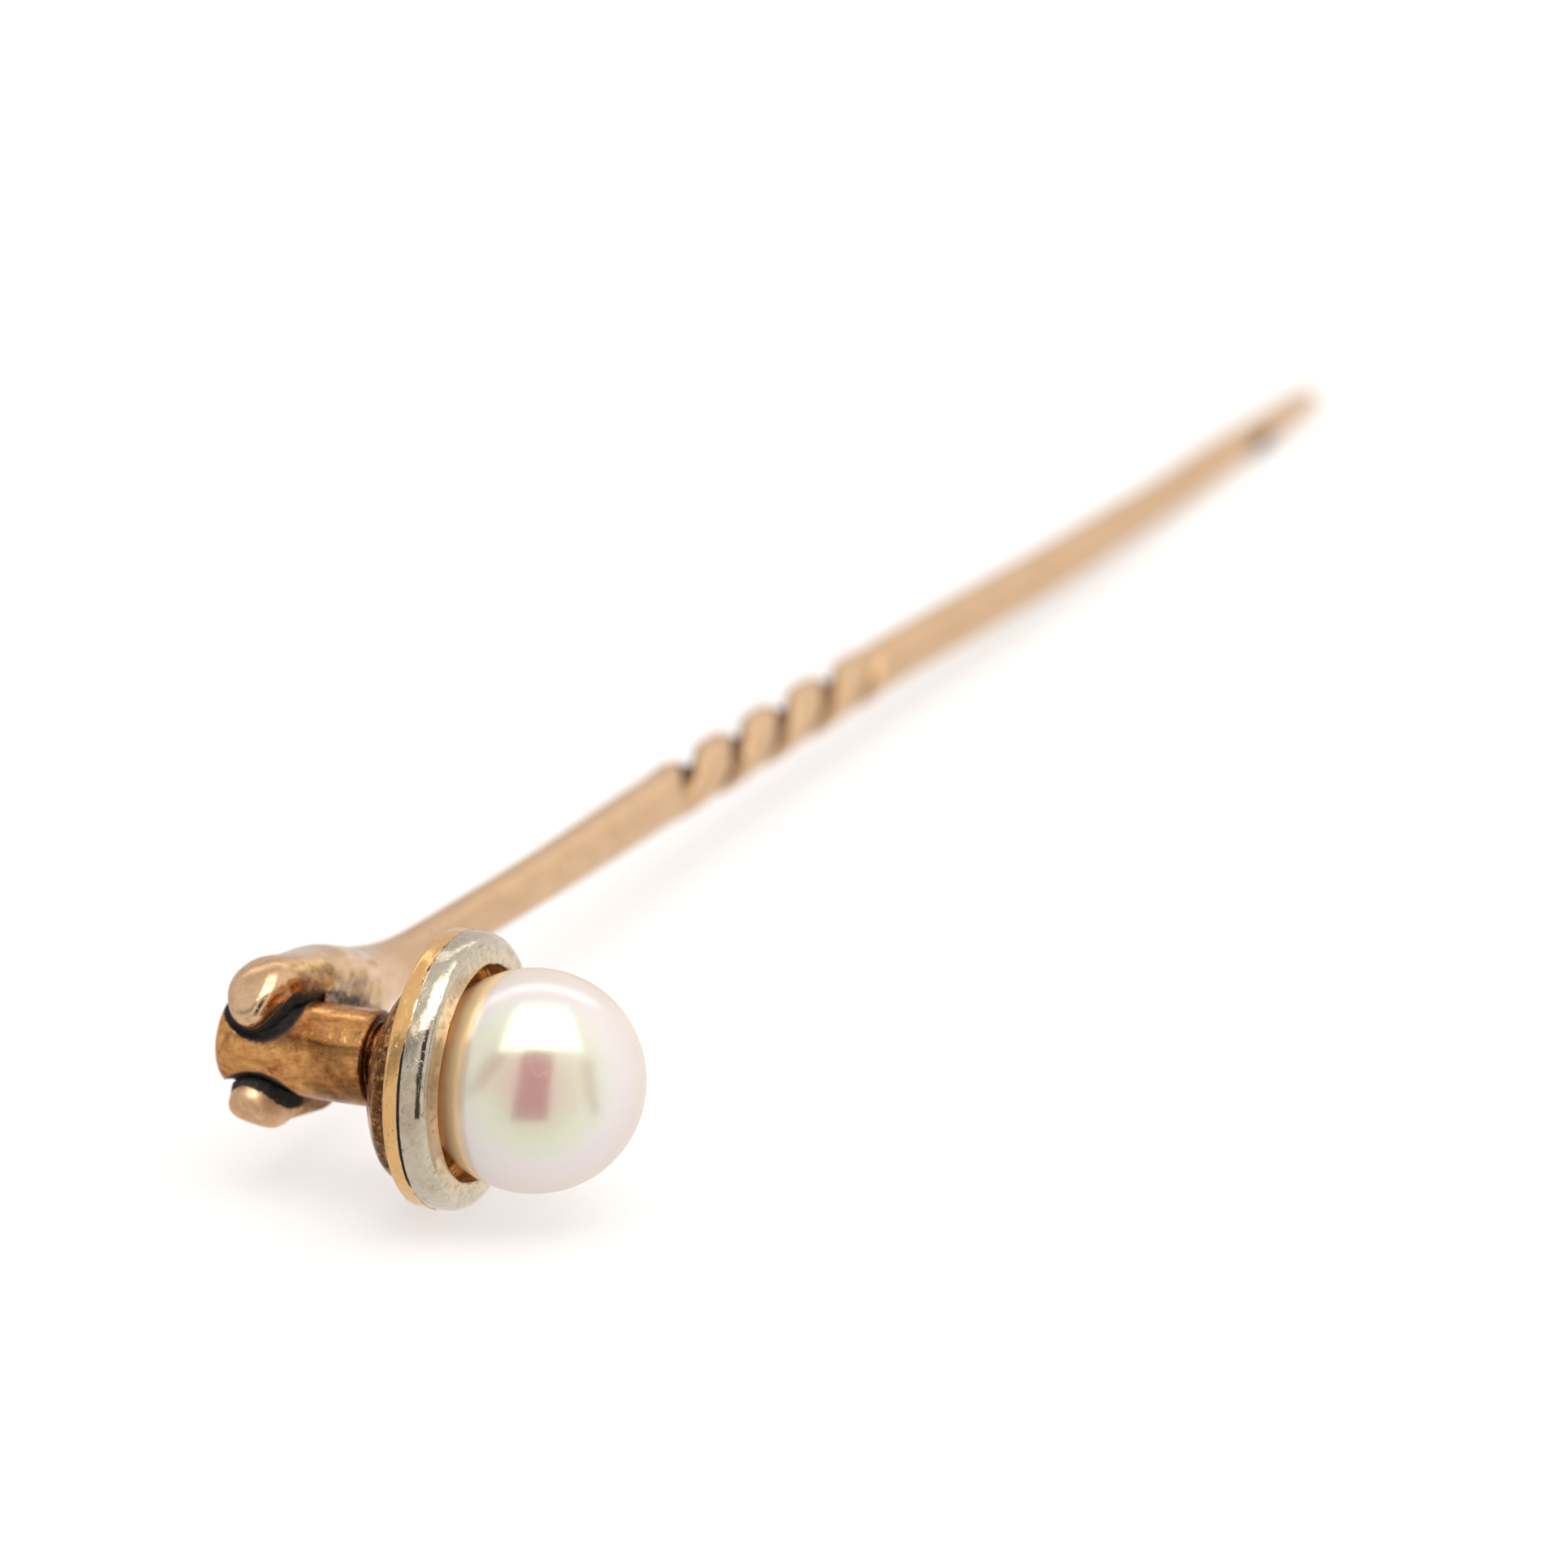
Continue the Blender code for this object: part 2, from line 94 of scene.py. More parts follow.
# Shaft, as in the part: radius and sideways sway along it.
SHAFT_RADII = (
    (8.0, 0.61),
    (14.0, 0.63),
    (20.5, 0.69),
    (34.0, 0.665),
    (45.0, 0.625),
    (52.0, 0.54),
    (58.0, 0.495),
    (61.6, 0.37),
    (PIN_TIP - 0.35, 0.24),
    (PIN_TIP, 0.05),
)
SHAFT_SWAY = (
    (0.0, 0.0),
    (14.0, 0.0),
    (22.0, -0.2),
    (35.0, -0.19),
    (46.0, 0.11),
    (54.0, -0.09),
    (57.0, -0.18),
    (60.0, -0.14),
    (PIN_TIP, -0.3),
)
SHAFT_LIFT = (
    (0.0, 0.0),
    (20.0, 0.0),
    (35.0, 0.07),
    (44.0, 0.14),
    (48.0, 0.19),
    (52.0, 0.15),
    (58.0, 0.24),
    (61.6, 0.33),
    (PIN_TIP, 0.27),
)
TWIST_START = 21.1
TWIST_EARLY = 0.4
TWIST_END = 35.0
TWIST_RUN_IN = 1.7
TWIST_RUN_OUT = 3.4
TWIST_LEAD = 5.4
TWIST_PHASE = math.radians(20.0) + 2 * math.pi * 0.5 / TWIST_LEAD
GROOVE_DEPTH = 0.57
GROOVE_WIDTH = 0.42
GROOVE_DARKENING_FROM = 0.08
COIL_SWELL = 0.1
# Painted dark reflection: a thin wavy brown line painted along the tube's side.
DARK_REFLECTION_START = 2.45
DARK_REFLECTION_ANGLE = math.radians(148.0)
DARK_REFLECTION_SAG = math.radians(5.0)
DARK_REFLECTION_WIDTH = math.radians(3.2)
# A dark grey patch on the shaft's lower side near the point.
DARK_PATCH_AT = 58.2
DARK_PATCH_LENGTH = 1.1
DARK_PATCH_TURN = math.radians(25.0)

# Shoulder: distance, half width, half height and squareness.
SHOULDER = (
    (0.9, 1.05, 1.6, 2.6),
    (2.0, 1.05, 1.56, 2.6),
    (3.2, 1.03, 1.42, 2.5),
    (4.4, 0.95, 1.13, 2.3),
    (5.6, 0.79, 0.84, 2.1),
    (6.8, 0.66, 0.67, 2.0),
    (8.0, 0.61, 0.61, 2.0),
)

# Each side of the fork has a broad base that ends over the tube and a rounded lobe that goes on past it.
BASE_OFFSET = 0.33
BASE_HALF_WIDTH = 1.1
BASE_HALF_THICKNESS = 0.68
BASE_END = math.radians(24.0)
LOBE_OFFSET = 0.1
LOBE_HALF_WIDTH = 0.81
LOBE_HALF_THICKNESS = 0.79
LOBE_CENTRE_RADIUS = 1.36
LOBE_END = math.radians(59.0)
LOBE_SQUARE = 4.6
LOBE_LEAN = math.radians(9.0)
LOBE_LEAN_AT = -0.1
LOBE_TIP_THICKNESS = 0.66
LOBE_ROUND = 1.75
UPPER_HUMP = 0.1
LOWER_HUMP = -0.13
LOBE_HUMP_END = math.radians(42.0)
LOBE_APPROACH = (
    (5.2, 0.2, 0.74, 0.48),
    (4.2, 0.48, 0.9, 0.62),
    (3.2, 0.85, 1.02, 0.68),
    (2.2, 1.18, 1.06, 0.7),
    (1.1, 1.35, 1.1, 0.68),
)
CLOSING = 0.24
VOXEL = 0.05
FORK_END = 8.3
LEE_SLOPE = 0.41


# ---------------------------------------------------------------- mesh helpers

def ease(t):
    t = min(1.0, max(0.0, t))
    return t * t * (3 - 2 * t)


def between(knots, where, column=1):
    """Smooth value of a column of knots at a distance, by cubic interpolation between knots."""
    last = len(knots) - 1
    i = 0
    while i < last - 1 and knots[i + 1][0] < where:
        i += 1
    span = knots[i + 1][0] - knots[i][0]
    t = min(1.0, max(0.0, (where - knots[i][0]) / span))

    def slope(k):
        low = max(0, k - 1)
        high = min(last, k + 1)
        return (knots[high][column] - knots[low][column]) / (knots[high][0] - knots[low][0])

    start = knots[i][column]
    end = knots[i + 1][column]
    return (
        (1 + 2 * t) * (1 - t) ** 2 * start
        + t * (1 - t) ** 2 * span * slope(i)
        + t * t * (3 - 2 * t) * end
        + t * t * (t - 1) * span * slope(i + 1)
    )


def bumpy(x, y, z, scale, seed=0.0):
    """Smooth noise of about -1 to 1 at a point in millimetres; scale is the size of its lumps."""
    return noise.noise(Vector((x / scale + seed, y / scale - seed, z / scale + 2 * seed)))


def new_mesh(name, points, faces, marks=None, smooth=True):
    """Marks holds (grime, tarnish) of each point: black dirt in corners, which at the tube's mouth is painted shade,
    and brown tarnishing, which on the tube and cup is partly painted shade, on the tube also a painted dark reflection,
    and which is left off the cup for painted highlights.
    """
    mesh = bpy.data.meshes.new(name)
    mesh.from_pydata([(x * MM, y * MM, z * MM) for x, y, z in points], [], faces)
    if marks is not None:
        for column, kind in enumerate(("grime_and_painted_shade", "tarnish_and_painted_light")):
            layer = mesh.attributes.new(kind, "FLOAT", "POINT")
            layer.data.foreach_set("value", [mark[column] for mark in marks])
    work = bmesh.new()
    work.from_mesh(mesh)
    bmesh.ops.remove_doubles(work, verts=work.verts, dist=1e-8)
    bmesh.ops.recalc_face_normals(work, faces=work.faces)
    work.to_mesh(mesh)
    work.free()
    for polygon in mesh.polygons:
        polygon.use_smooth = smooth
    return mesh


def new_piece(name, mesh, material):
    """An object whose mesh is in the pin's frame."""
    obj = bpy.data.objects.new(name, mesh)
    bpy.context.scene.collection.objects.link(obj)
    if material is not None:
        mesh.materials.clear()
        mesh.materials.append(material)
    return obj


def rounded(corners, closed=False, segments=6):
    """Outline of (radius, station) points with each corner (radius, station, rounding) rounded off."""
    count = len(corners)
    outline = []
    for i, (radius, station, rounding) in enumerate(corners):
        here = Vector((radius, station))
        if rounding <= 0 or (not closed and i in (0, count - 1)):
            outline.append(here)
            continue
        before = Vector(corners[i - 1][:2]) - here
        after = Vector(corners[(i + 1) % count][:2]) - here
        reach = min(rounding, 0.48 * before.length, 0.48 * after.length)
        start = here + before.normalized() * reach
        end = here + after.normalized() * reach
        for k in range(segments + 1):
            t = k / segments
            outline.append(start * (1 - t) ** 2 + here * 2 * t * (1 - t) + end * t * t)
    return outline


def dense(outline, step, closed=False):
    """The outline with long stretches divided, so that its surface can be worked."""
    found = []
    count = len(outline)
    for i in range(count if closed else count - 1):
        start = outline[i]
        end = outline[(i + 1) % count]
        pieces = max(1, math.ceil((end - start).length / step))
        for k in range(pieces):
            found.append(start.lerp(end, k / pieces))
    if not closed:
        found.append(outline[-1])
    return found


def revolve(outline, sides, closed=False, shape=None, marks=None):
    """Points, faces and marks of an outline turned about the head's axis.

    shape(x, z, angle, radius, station) gives a new (radius, station); marks(angle, radius, station) gives
    (grime, tarnish) at the same place."""
    points = []
    dirt = []
    for radius, station in outline:
        for j in range(sides):
            angle = 2 * math.pi * j / sides
            r, s = radius, station
            if shape is not None and radius > 1e-4:
                r, s = shape(radius * math.cos(angle), radius * math.sin(angle), angle, radius, station)
            points.append((r * math.cos(angle), -s, r * math.sin(angle)))
            dirt.append(marks(angle, radius, station) if marks else (0.0, 0.0))
    faces = []
    rows = len(outline)
    for i in range(rows if closed else rows - 1):
        a = i * sides
        b = ((i + 1) % rows) * sides
        for j in range(sides):
            k = (j + 1) % sides
            faces.append((a + j, a + k, b + k, b + j))
    return points, faces, dirt


def skin(rings):
    """Points and faces of a closed skin over a list of rings."""
    sides = len(rings[0])
    points = [point for ring in rings for point in ring]
    faces = []
    for i in range(len(rings) - 1):
        for j in range(sides):
            k = (j + 1) % sides
            faces.append((i * sides + j, i * sides + k, (i + 1) * sides + k, (i + 1) * sides + j))
    faces.append(tuple(range(sides)))
    faces.append(tuple((len(rings) - 1) * sides + j for j in range(sides)))
    return points, faces


# ---------------------------------------------------------------- the pin and its fork

def pin_centre_y(x):
    in_fork = BASE_OFFSET * (1 - ease(x / SHOULDER[4][0]))
    return -(PIN_STATION + PIN_LEAN * x + in_fork + between(SHAFT_SWAY, x))


def groove(x, around):
    """Each 0 to 1: how deep inside a groove of the twist this place is, and how strongly the pin is wound here."""
    wound = ease((x - TWIST_START) / TWIST_RUN_IN) * ease((TWIST_END - x) / TWIST_RUN_OUT)
    across = math.sin(around) / GROOVE_WIDTH
    return wound * math.exp(-across * across), wound


def pin_ring(x, sides):
    """Points of one cross-section of the pin, and how deep in a groove each lies."""
    if x < SHOULDER[-1][0]:
        width, height, square = (between(SHOULDER, x, column) for column in (1, 2, 3))
    else:
        width = height = between(SHAFT_RADII, x)
        square = 2.0
    early = TWIST_EARLY * (1 - ease((x - TWIST_START) / (0.6 * TWIST_LEAD)))
    turn = -2 * math.pi * (min(max(x - TWIST_START, 0.0), TWIST_END - TWIST_START) + early) / TWIST_LEAD
    centre_y = pin_centre_y(x)
    centre_z = between(SHAFT_LIFT, x)
    ring = []
    dirt = []
    for j in range(sides):
        around = 2 * math.pi * j / sides
        sunk, wound = groove(x, around)
        keep = 1 - GROOVE_DEPTH * sunk + COIL_SWELL * wound * abs(math.sin(around))
        angle = around + turn + TWIST_PHASE
        c = math.cos(angle)
        s = math.sin(angle)
        ring.append((
            x,
            centre_y + width * keep * math.copysign(abs(c) ** (2 / square), c),
            centre_z + height * keep * math.copysign(abs(s) ** (2 / square), s),
        ))
        # Darkened patch on the lower side near the point.
        along_dark_patch = (x - DARK_PATCH_AT) / DARK_PATCH_LENGTH
        dark_patch = math.exp(-along_dark_patch * along_dark_patch) * ease((math.cos(angle - math.pi - DARK_PATCH_TURN) - 0.1) / 0.7)
        # Darkened and browned deep in each groove of the twist.
        groove_darkening = wound * ease((sunk - GROOVE_DARKENING_FROM) / 0.4)
        dirt.append((max(0.4 * groove_darkening, 0.6 * dark_patch), groove_darkening))
    return ring, dirt


def fork_path(end, half_width, half_thickness, offset, hump):
    """Sections of one side of the fork, from the shoulder over the tube to a rounded end."""
    path = []
    for x, z, width, thickness in LOBE_APPROACH:
        path.append((Vector((x, z)), width, thickness, BASE_OFFSET))
    steps = 34
    round_angle = LOBE_ROUND * half_width / (LOBE_CENTRE_RADIUS + 0.15)
    tip_thickness = LOBE_TIP_THICKNESS / LOBE_HALF_THICKNESS * half_thickness
    for i in range(steps + 1):
        angle = end * i / steps
        from_axis = LOBE_CENTRE_RADIUS + hump * (1 - ease(angle / LOBE_HUMP_END))
        centre = from_axis * Vector((-math.sin(angle), math.cos(angle)))
        into_end = max(0.0, (angle - end + round_angle) / round_angle)
        narrow = (1 - min(into_end, 0.998) ** 2) ** (1 / 1.9)
        thin = (1 - min(into_end, 0.998) ** 5) ** (1 / 3)
        thickness = half_thickness + (tip_thickness - half_thickness) * ease(angle / end)
        path.append((centre, half_width * narrow, thickness * thin, offset))
    return path


def fork_rings(path, side, sides=40):
    rings = []
    for i, (centre, half_width, half_thickness, offset) in enumerate(path):
        ahead = path[min(i + 1, len(path) - 1)][0]
        behind = path[max(i - 1, 0)][0]
        along = (ahead - behind).normalized()
        across = Vector((along.y, -along.x))
        if across.y < 0:
            across = -across
        share = ease(i / (len(path) - 1))
        lean = math.tan(LOBE_LEAN)
        square = 2.0 + (LOBE_SQUARE - 2.0) * share
        ring = []
        for j in range(sides):
            turn = 2 * math.pi * j / sides
            c = math.cos(turn)
            s = math.sin(turn)
            wide = half_width * math.copysign(abs(c) ** (2 / square), c)
            lift = half_thickness * math.copysign(abs(s) ** (2 / square), s)
            lift -= lean * max(0.0, s) * (wide - LOBE_LEAN_AT)
            ring.append((centre.x + across.x * lift, wide - PIN_STATION - offset, side * (centre.y + across.y * lift)))
        rings.append(ring)
    return rings


def applied(obj):
    """Mesh of the object with its modifiers applied."""
    graph = bpy.context.evaluated_depsgraph_get()
    mesh = bpy.data.meshes.new_from_object(obj.evaluated_get(graph), depsgraph=graph)
    obj.modifiers.clear()
    obj.data = mesh
    return mesh


def remesh(obj, size):
    modifier = obj.modifiers.new("remesh", "REMESH")
    modifier.mode = "VOXEL"
    modifier.voxel_size = size * MM
    applied(obj)


def swell(obj, distance):
    modifier = obj.modifiers.new("swell", "DISPLACE")
    modifier.strength = distance * MM
    modifier.mid_level = 0.0
    applied(obj)


def relax(obj, turns):
    modifier = obj.modifiers.new("relax", "SMOOTH")
    modifier.factor = 0.5
    modifier.iterations = turns
    applied(obj)


def cylinder_rings(radius, start, end, sides):
    rings = []
    for station in (start, end):
        rings.append([
            (radius * math.cos(2 * math.pi * j / sides), -station, radius * math.sin(2 * math.pi * j / sides))
            for j in range(sides)
        ])
    return rings


def build_fork():
    """The shoulder and both lobes as one skin, with filleted corners and the tube's seat cut through."""
    steps = 60
    start = SHOULDER[0][0]
    core = [pin_ring(start + (FORK_END - start) * i / steps, 48)[0] for i in range(steps + 1)]
    shapes = [skin(core)]
    for side in (1, -1):
        hump = UPPER_HUMP if side > 0 else LOWER_HUMP
        lobe = fork_path(LOBE_END, LOBE_HALF_WIDTH, LOBE_HALF_THICKNESS, LOBE_OFFSET, hump)
        base = fork_path(BASE_END, BASE_HALF_WIDTH, BASE_HALF_THICKNESS, BASE_OFFSET, hump)
        shapes.append(skin(fork_rings(lobe, side)))
        shapes.append(skin(fork_rings(base, side)))
    points = []
    faces = []
    for some_points, some_faces in shapes:
        first = len(points)
        points += some_points
        faces += [tuple(first + i for i in face) for face in some_faces]
    fork = new_piece("fork", new_mesh("fork", points, faces), None)
    remesh(fork, VOXEL)
    swell(fork, CLOSING)
    remesh(fork, VOXEL)
    swell(fork, -CLOSING)
    remesh(fork, VOXEL)
    relax(fork, 5)
    seat = new_piece("seat", new_mesh("seat", *skin(cylinder_rings(TUBE_RADIUS - 0.1, -3.0, 9.0, 96))), None)
    cut = fork.modifiers.new("seat", "BOOLEAN")
    cut.object = seat
    cut.operation = "DIFFERENCE"
    cut.solver = "EXACT"
    applied(fork)
    bpy.data.objects.remove(seat)
    remesh(fork, VOXEL * 0.8)
    relax(fork, 3)
    return fork


def build_stem(material):
    """The fork's skin joined to the lofted shaft, with grooves wound round it and a tapered point."""
    fork = build_fork()
    work = bmesh.new()
    work.from_mesh(fork.data)
    cut_x = (FORK_END - 0.3) * MM
    everything = list(work.verts) + list(work.edges) + list(work.faces)
    bmesh.ops.bisect_plane(work, geom=everything, plane_co=(cut_x, 0, 0), plane_no=(1, 0, 0), clear_outer=True)
    loop = [edge for edge in work.edges if edge.is_boundary]
    radius = between(SHAFT_RADII, FORK_END)
    centre_y = pin_centre_y(cut_x / MM)
    for vertex in {vertex for edge in loop for vertex in edge.verts}:
        away = Vector((vertex.co.y - centre_y * MM, vertex.co.z)).normalized() * radius * MM
        vertex.co.y = centre_y * MM + away.x
        vertex.co.z = away.y
    layer = work.verts.layers.float.new("grime_and_painted_shade")
    brown = work.verts.layers.float.new("tarnish_and_painted_light")
    sides = 72
    previous = None
    first_edges = []
    x = cut_x / MM + 0.06
    while True:
        ring, dirt = pin_ring(min(x, PIN_TIP), sides)
        verts = []
        for (px, py, pz), mark in zip(ring, dirt):
            vertex = work.verts.new((px * MM, py * MM, pz * MM))
            vertex[layer], vertex[brown] = mark
            verts.append(vertex)
        for j in range(sides):
            k = (j + 1) % sides
            if previous is None:
                first_edges.append(work.edges.new((verts[j], verts[k])))
            else:
                work.faces.new((previous[j], previous[k], verts[k], verts[j]))
        previous = verts
        if x >= PIN_TIP:
            break
        if TWIST_START - 0.4 < x < TWIST_END:
            x += 0.07
        elif x > PIN_TIP - 2.0:
            x += 0.1
        else:
            x += 0.35
    work.faces.new(previous)
    bmesh.ops.bridge_loops(work, edges=loop + first_edges)
    bmesh.ops.triangulate(work, faces=[face for face in work.faces if len(face.verts) > 4])
    bmesh.ops.recalc_face_normals(work, faces=work.faces)
    for vertex in work.verts:
        if vertex.co.x < cut_x:
            vertex[layer], vertex[brown] = fork_marks(vertex.co / MM)
    for face in work.faces:
        face.smooth = True
    mesh = bpy.data.meshes.new("pin")
    work.to_mesh(mesh)
    work.free()
    bpy.data.objects.remove(fork)
    return new_piece("pin", mesh, material)


def fork_marks(place):
    """Black in the corner along the tube by the lobes, brown and honey tarnishing on the shoulder's head side."""
    from_tube = max(0.0, math.hypot(place.x, place.z) - TUBE_RADIUS)
    past_top = math.degrees(math.atan2(-place.x, abs(place.z)))
    by_lobe = ease((past_top + 3.0) / 14.0)
    front_side = ease((-place.y - PIN_STATION - 0.2) / 0.6)
    black = (1 - ease((from_tube - 0.1 - 0.08 * front_side) / 0.26)) * by_lobe
    lee = place.z + LEE_SLOPE * place.x - TUBE_RADIUS
    on_shoulder = ease((place.x + 0.5) / 0.5) * ease((5.4 - place.x) / 2.2)
    brown = (1 - ease((lee - 0.12) / 0.45)) * ease((lee + 0.7) / 0.4)
    honey = 0.62 * (1 - ease((lee - 0.75) / 0.9))
    corner = (1 - ease(from_tube / 0.1)) * (1 - on_shoulder)
    scorched = 0.5 * (1 - ease((lee - 0.3) / 0.42)) * ease((lee + 0.7) / 0.4) * front_side * on_shoulder
    scorched *= ease((4.2 - place.x) / 1.6)
    return max(black, scorched), max(corner, max(brown, honey) * front_side * on_shoulder)


# ---------------------------------------------------------------- the tube

def lobe_distance(angle, radius, station):
    """Distance in millimetres of a place on the tube from the edge of the nearer lobe's foot."""
    x = radius * math.cos(angle)
    z = radius * math.sin(angle)
    from_top = math.atan2(-x, abs(z))
    along = from_top * TUBE_RADIUS
    end = LOBE_END * TUBE_RADIUS
    across = station - PIN_STATION - LOBE_OFFSET
    return math.hypot(max(0.0, along - (end - LOBE_HALF_WIDTH)), across) - LOBE_HALF_WIDTH


def moat(angle, radius, station, width):
    """0 to 1: how deep in the worn, blackened hollow round a lobe; the hollow is wider on the head's side."""
    away = lobe_distance(angle, radius, station)
    side = ease(0.5 + 0.5 * (station - PIN_STATION - LOBE_OFFSET) / LOBE_HALF_WIDTH)
    return 1 - ease((away - 0.02) / (width * (0.55 + 0.75 * side)))


def build_tube(material):
    bore = STUD_RADIUS + 0.02
    corners = (
        (0.0, TUBE_BACK, 0),
        (TUBE_RADIUS, TUBE_BACK, 0.5),
        (TUBE_RADIUS, TUBE_FRONT, 0.2),
        (bore, TUBE_FRONT, 0.1),
        (bore, TUBE_FRONT - 1.2, 0),
        (0.0, TUBE_FRONT - 1.2, 0),
    )
    outline = dense(rounded(corners, segments=8), 0.04)

    def shape(x, z, angle, radius, station):
        depth = 0.15 * moat(angle, radius, station, 0.26) if radius > TUBE_RADIUS - 0.3 else 0.0
        dents = 0.016 * bumpy(x, station * 0.6, z, 0.9, 3.1) + 0.006 * bumpy(x, station, z, 0.35, 7.7)
        return radius - depth + dents, station

    def marks(angle, radius, station):
        # Painted shade: the end face and the opening of the bore, in the neck's shadow, are browned and a little
        # blackened.
        mouth = ease((station - TUBE_FRONT + 0.06) / 0.06) * ease((TUBE_RADIUS - radius) / 0.2)
        lip = 0.8 * ease((station - TUBE_FRONT + 0.3) / 0.28)
        # Painted shade: from station 1.8 forward the tube is browned everywhere but along its top, which stays light,
        # and browned more underneath.
        painted_shade_off_top = 0.45 * ease((station - 1.8) / 1.4) * ease((0.93 - math.sin(angle)) / 0.2)
        painted_shade_off_top += 0.25 * ease(0.2 - math.sin(angle))
        # Painted dark reflection: a thin brown line along the tube's side, sagging a little between its start and the
        # front; wave holds it.
        along_dark_reflection = (station - DARK_REFLECTION_START) / (TUBE_FRONT - DARK_REFLECTION_START)
        off_dark_reflection = angle - DARK_REFLECTION_ANGLE - DARK_REFLECTION_SAG * math.sin(math.pi * min(1.0, max(0.0, along_dark_reflection)))
        wave = 0.75 * math.exp(-(off_dark_reflection / DARK_REFLECTION_WIDTH) ** 2) * ease(along_dark_reflection / 0.12) if along_dark_reflection > 0 else 0.0
        return max(moat(angle, radius, station, 0.45), 0.15 * mouth), max(lip, mouth, painted_shade_off_top, wave)

    sides = 256
    return new_piece("cross_tube", new_mesh("cross_tube", *revolve(outline, sides, False, shape, marks)), material)


# ---------------------------------------------------------------- cup, collet, rim

def build_cup(material):
    middle = 0.5 * (CUP_RADIUS + 1.35)
    corners = (
        (0.0, CUP_BACK, 0),
        (1.3, CUP_BACK, 0.15),
        (middle, CUP_BACK + 0.18, 0.5),
        (CUP_RADIUS, CUP_BACK + 0.56, 0.2),
        (CUP_RADIUS, CUP_FRONT, 0),
        (CUP_RADIUS - 0.28, CUP_FRONT, 0),
        (CUP_RADIUS - 0.28, CUP_BACK + 0.62, 0.2),
        (1.3, CUP_BACK + 0.34, 0.2),
        (0.0, CUP_BACK + 0.34, 0),
    )
    outline = dense(rounded(corners, segments=8), 0.06)

    def shape(x, z, angle, radius, station):
        lumps = 0.035 * bumpy(x, station, z, 0.5, 1.3) + 0.03 * bumpy(x, station, z, 0.2, 5.2)
        return radius + lumps * ease((radius - 0.9) / 0.4) - 0.04, station + lumps

    def marks(angle, radius, station):
        # Painted shade and highlights: the cup is browned and a little blackened all over, partly its own oxide and
        # partly painted shade; a band along its rear edge and scattered spots are left clean as painted highlights.
        rear_edge_highlight = math.exp(-((station - CUP_BACK - 0.42) / 0.14) ** 2) * ease((radius - 1.9) / 0.3)
        lit = 0.75 * rear_edge_highlight + 0.45 * max(0.0, bumpy(2.4 * math.cos(angle), station, 2.4 * math.sin(angle), 0.3, 8.3))
        return 0.1 * (1 - rear_edge_highlight), max(0.0, 0.9 - lit)

    points, faces, dirt = revolve(outline, 224, False, shape, marks)
    points = [(x, y, z - CUP_DROP) for x, y, z in points]
    return new_piece("cup", new_mesh("cup", points, faces, dirt), material)


def build_collet(material):
    rear, front = COLLET_REAR, COLLET_FRONT
    corners = (
        (1.75, rear, 0.03),
        (COLLET_RADIUS - 0.01, rear, 0.12),
        (COLLET_RADIUS, front, 0.035),
        (2.88, front, 0.03),
        (2.88, rear + 0.22, 0.08),
        (1.75, rear + 0.22, 0.05),
    )
    outline = dense(rounded(corners, closed=True, segments=4), 0.05, closed=True)

    def shape(x, z, angle, radius, station):
        wave = 0.012 * bumpy(x, 0, z, 1.6, 2.2) + 0.006 * bumpy(x, station, z, 0.4, 4.4)
        nick = max(0.0, bumpy(x, 0, z, 0.11, 9.1) - 0.35) * ease((station - front + 0.07) / 0.07)
        worn = min(radius + wave, COLLET_RADIUS + 0.03) - 0.09 * nick * ease((radius - 3.2) / 0.1)
        at_edge = (1 - seam_dirt(angle)) * ease((station - front + 0.06) / 0.03) * ease((radius - COLLET_RADIUS + 0.08) / 0.03)
        smeared = COLLET_RADIUS + 0.005
        overlap = 0.035 + 0.05 * bumpy(x, 0, z, 0.12, 3.3) + 0.05 * bumpy(x, 0, z, 0.4, 5.3)
        return worn + (smeared - worn) * at_edge, station + overlap * at_edge

    def marks(angle, radius, station):
        at_seam = ease((station - front + 0.05) / 0.05) * seam_dirt(angle)
        inside = ease((COLLET_RADIUS - 0.1 - radius) / 0.2)
        return at_seam, 0.3 * inside

    return new_piece("collet", new_mesh("collet", *revolve(outline, 288, True, shape, marks)), material)


def seam_dirt(angle):
    """0 to 1 round the head: where the seam between collet and rim is open and black. It is closed elsewhere."""
    x = math.cos(angle)
    z = math.sin(angle)
    side = 1 - ease((abs(math.degrees(math.atan2(z + 0.12, -x))) - 26.0) / 16.0)
    patchy = ease((bumpy(x, 0.0, z, 0.35, 4.9) - 0.05) / 0.25) * ease((x - 0.15) / 0.3)
    return max(side, 0.8 * patchy)


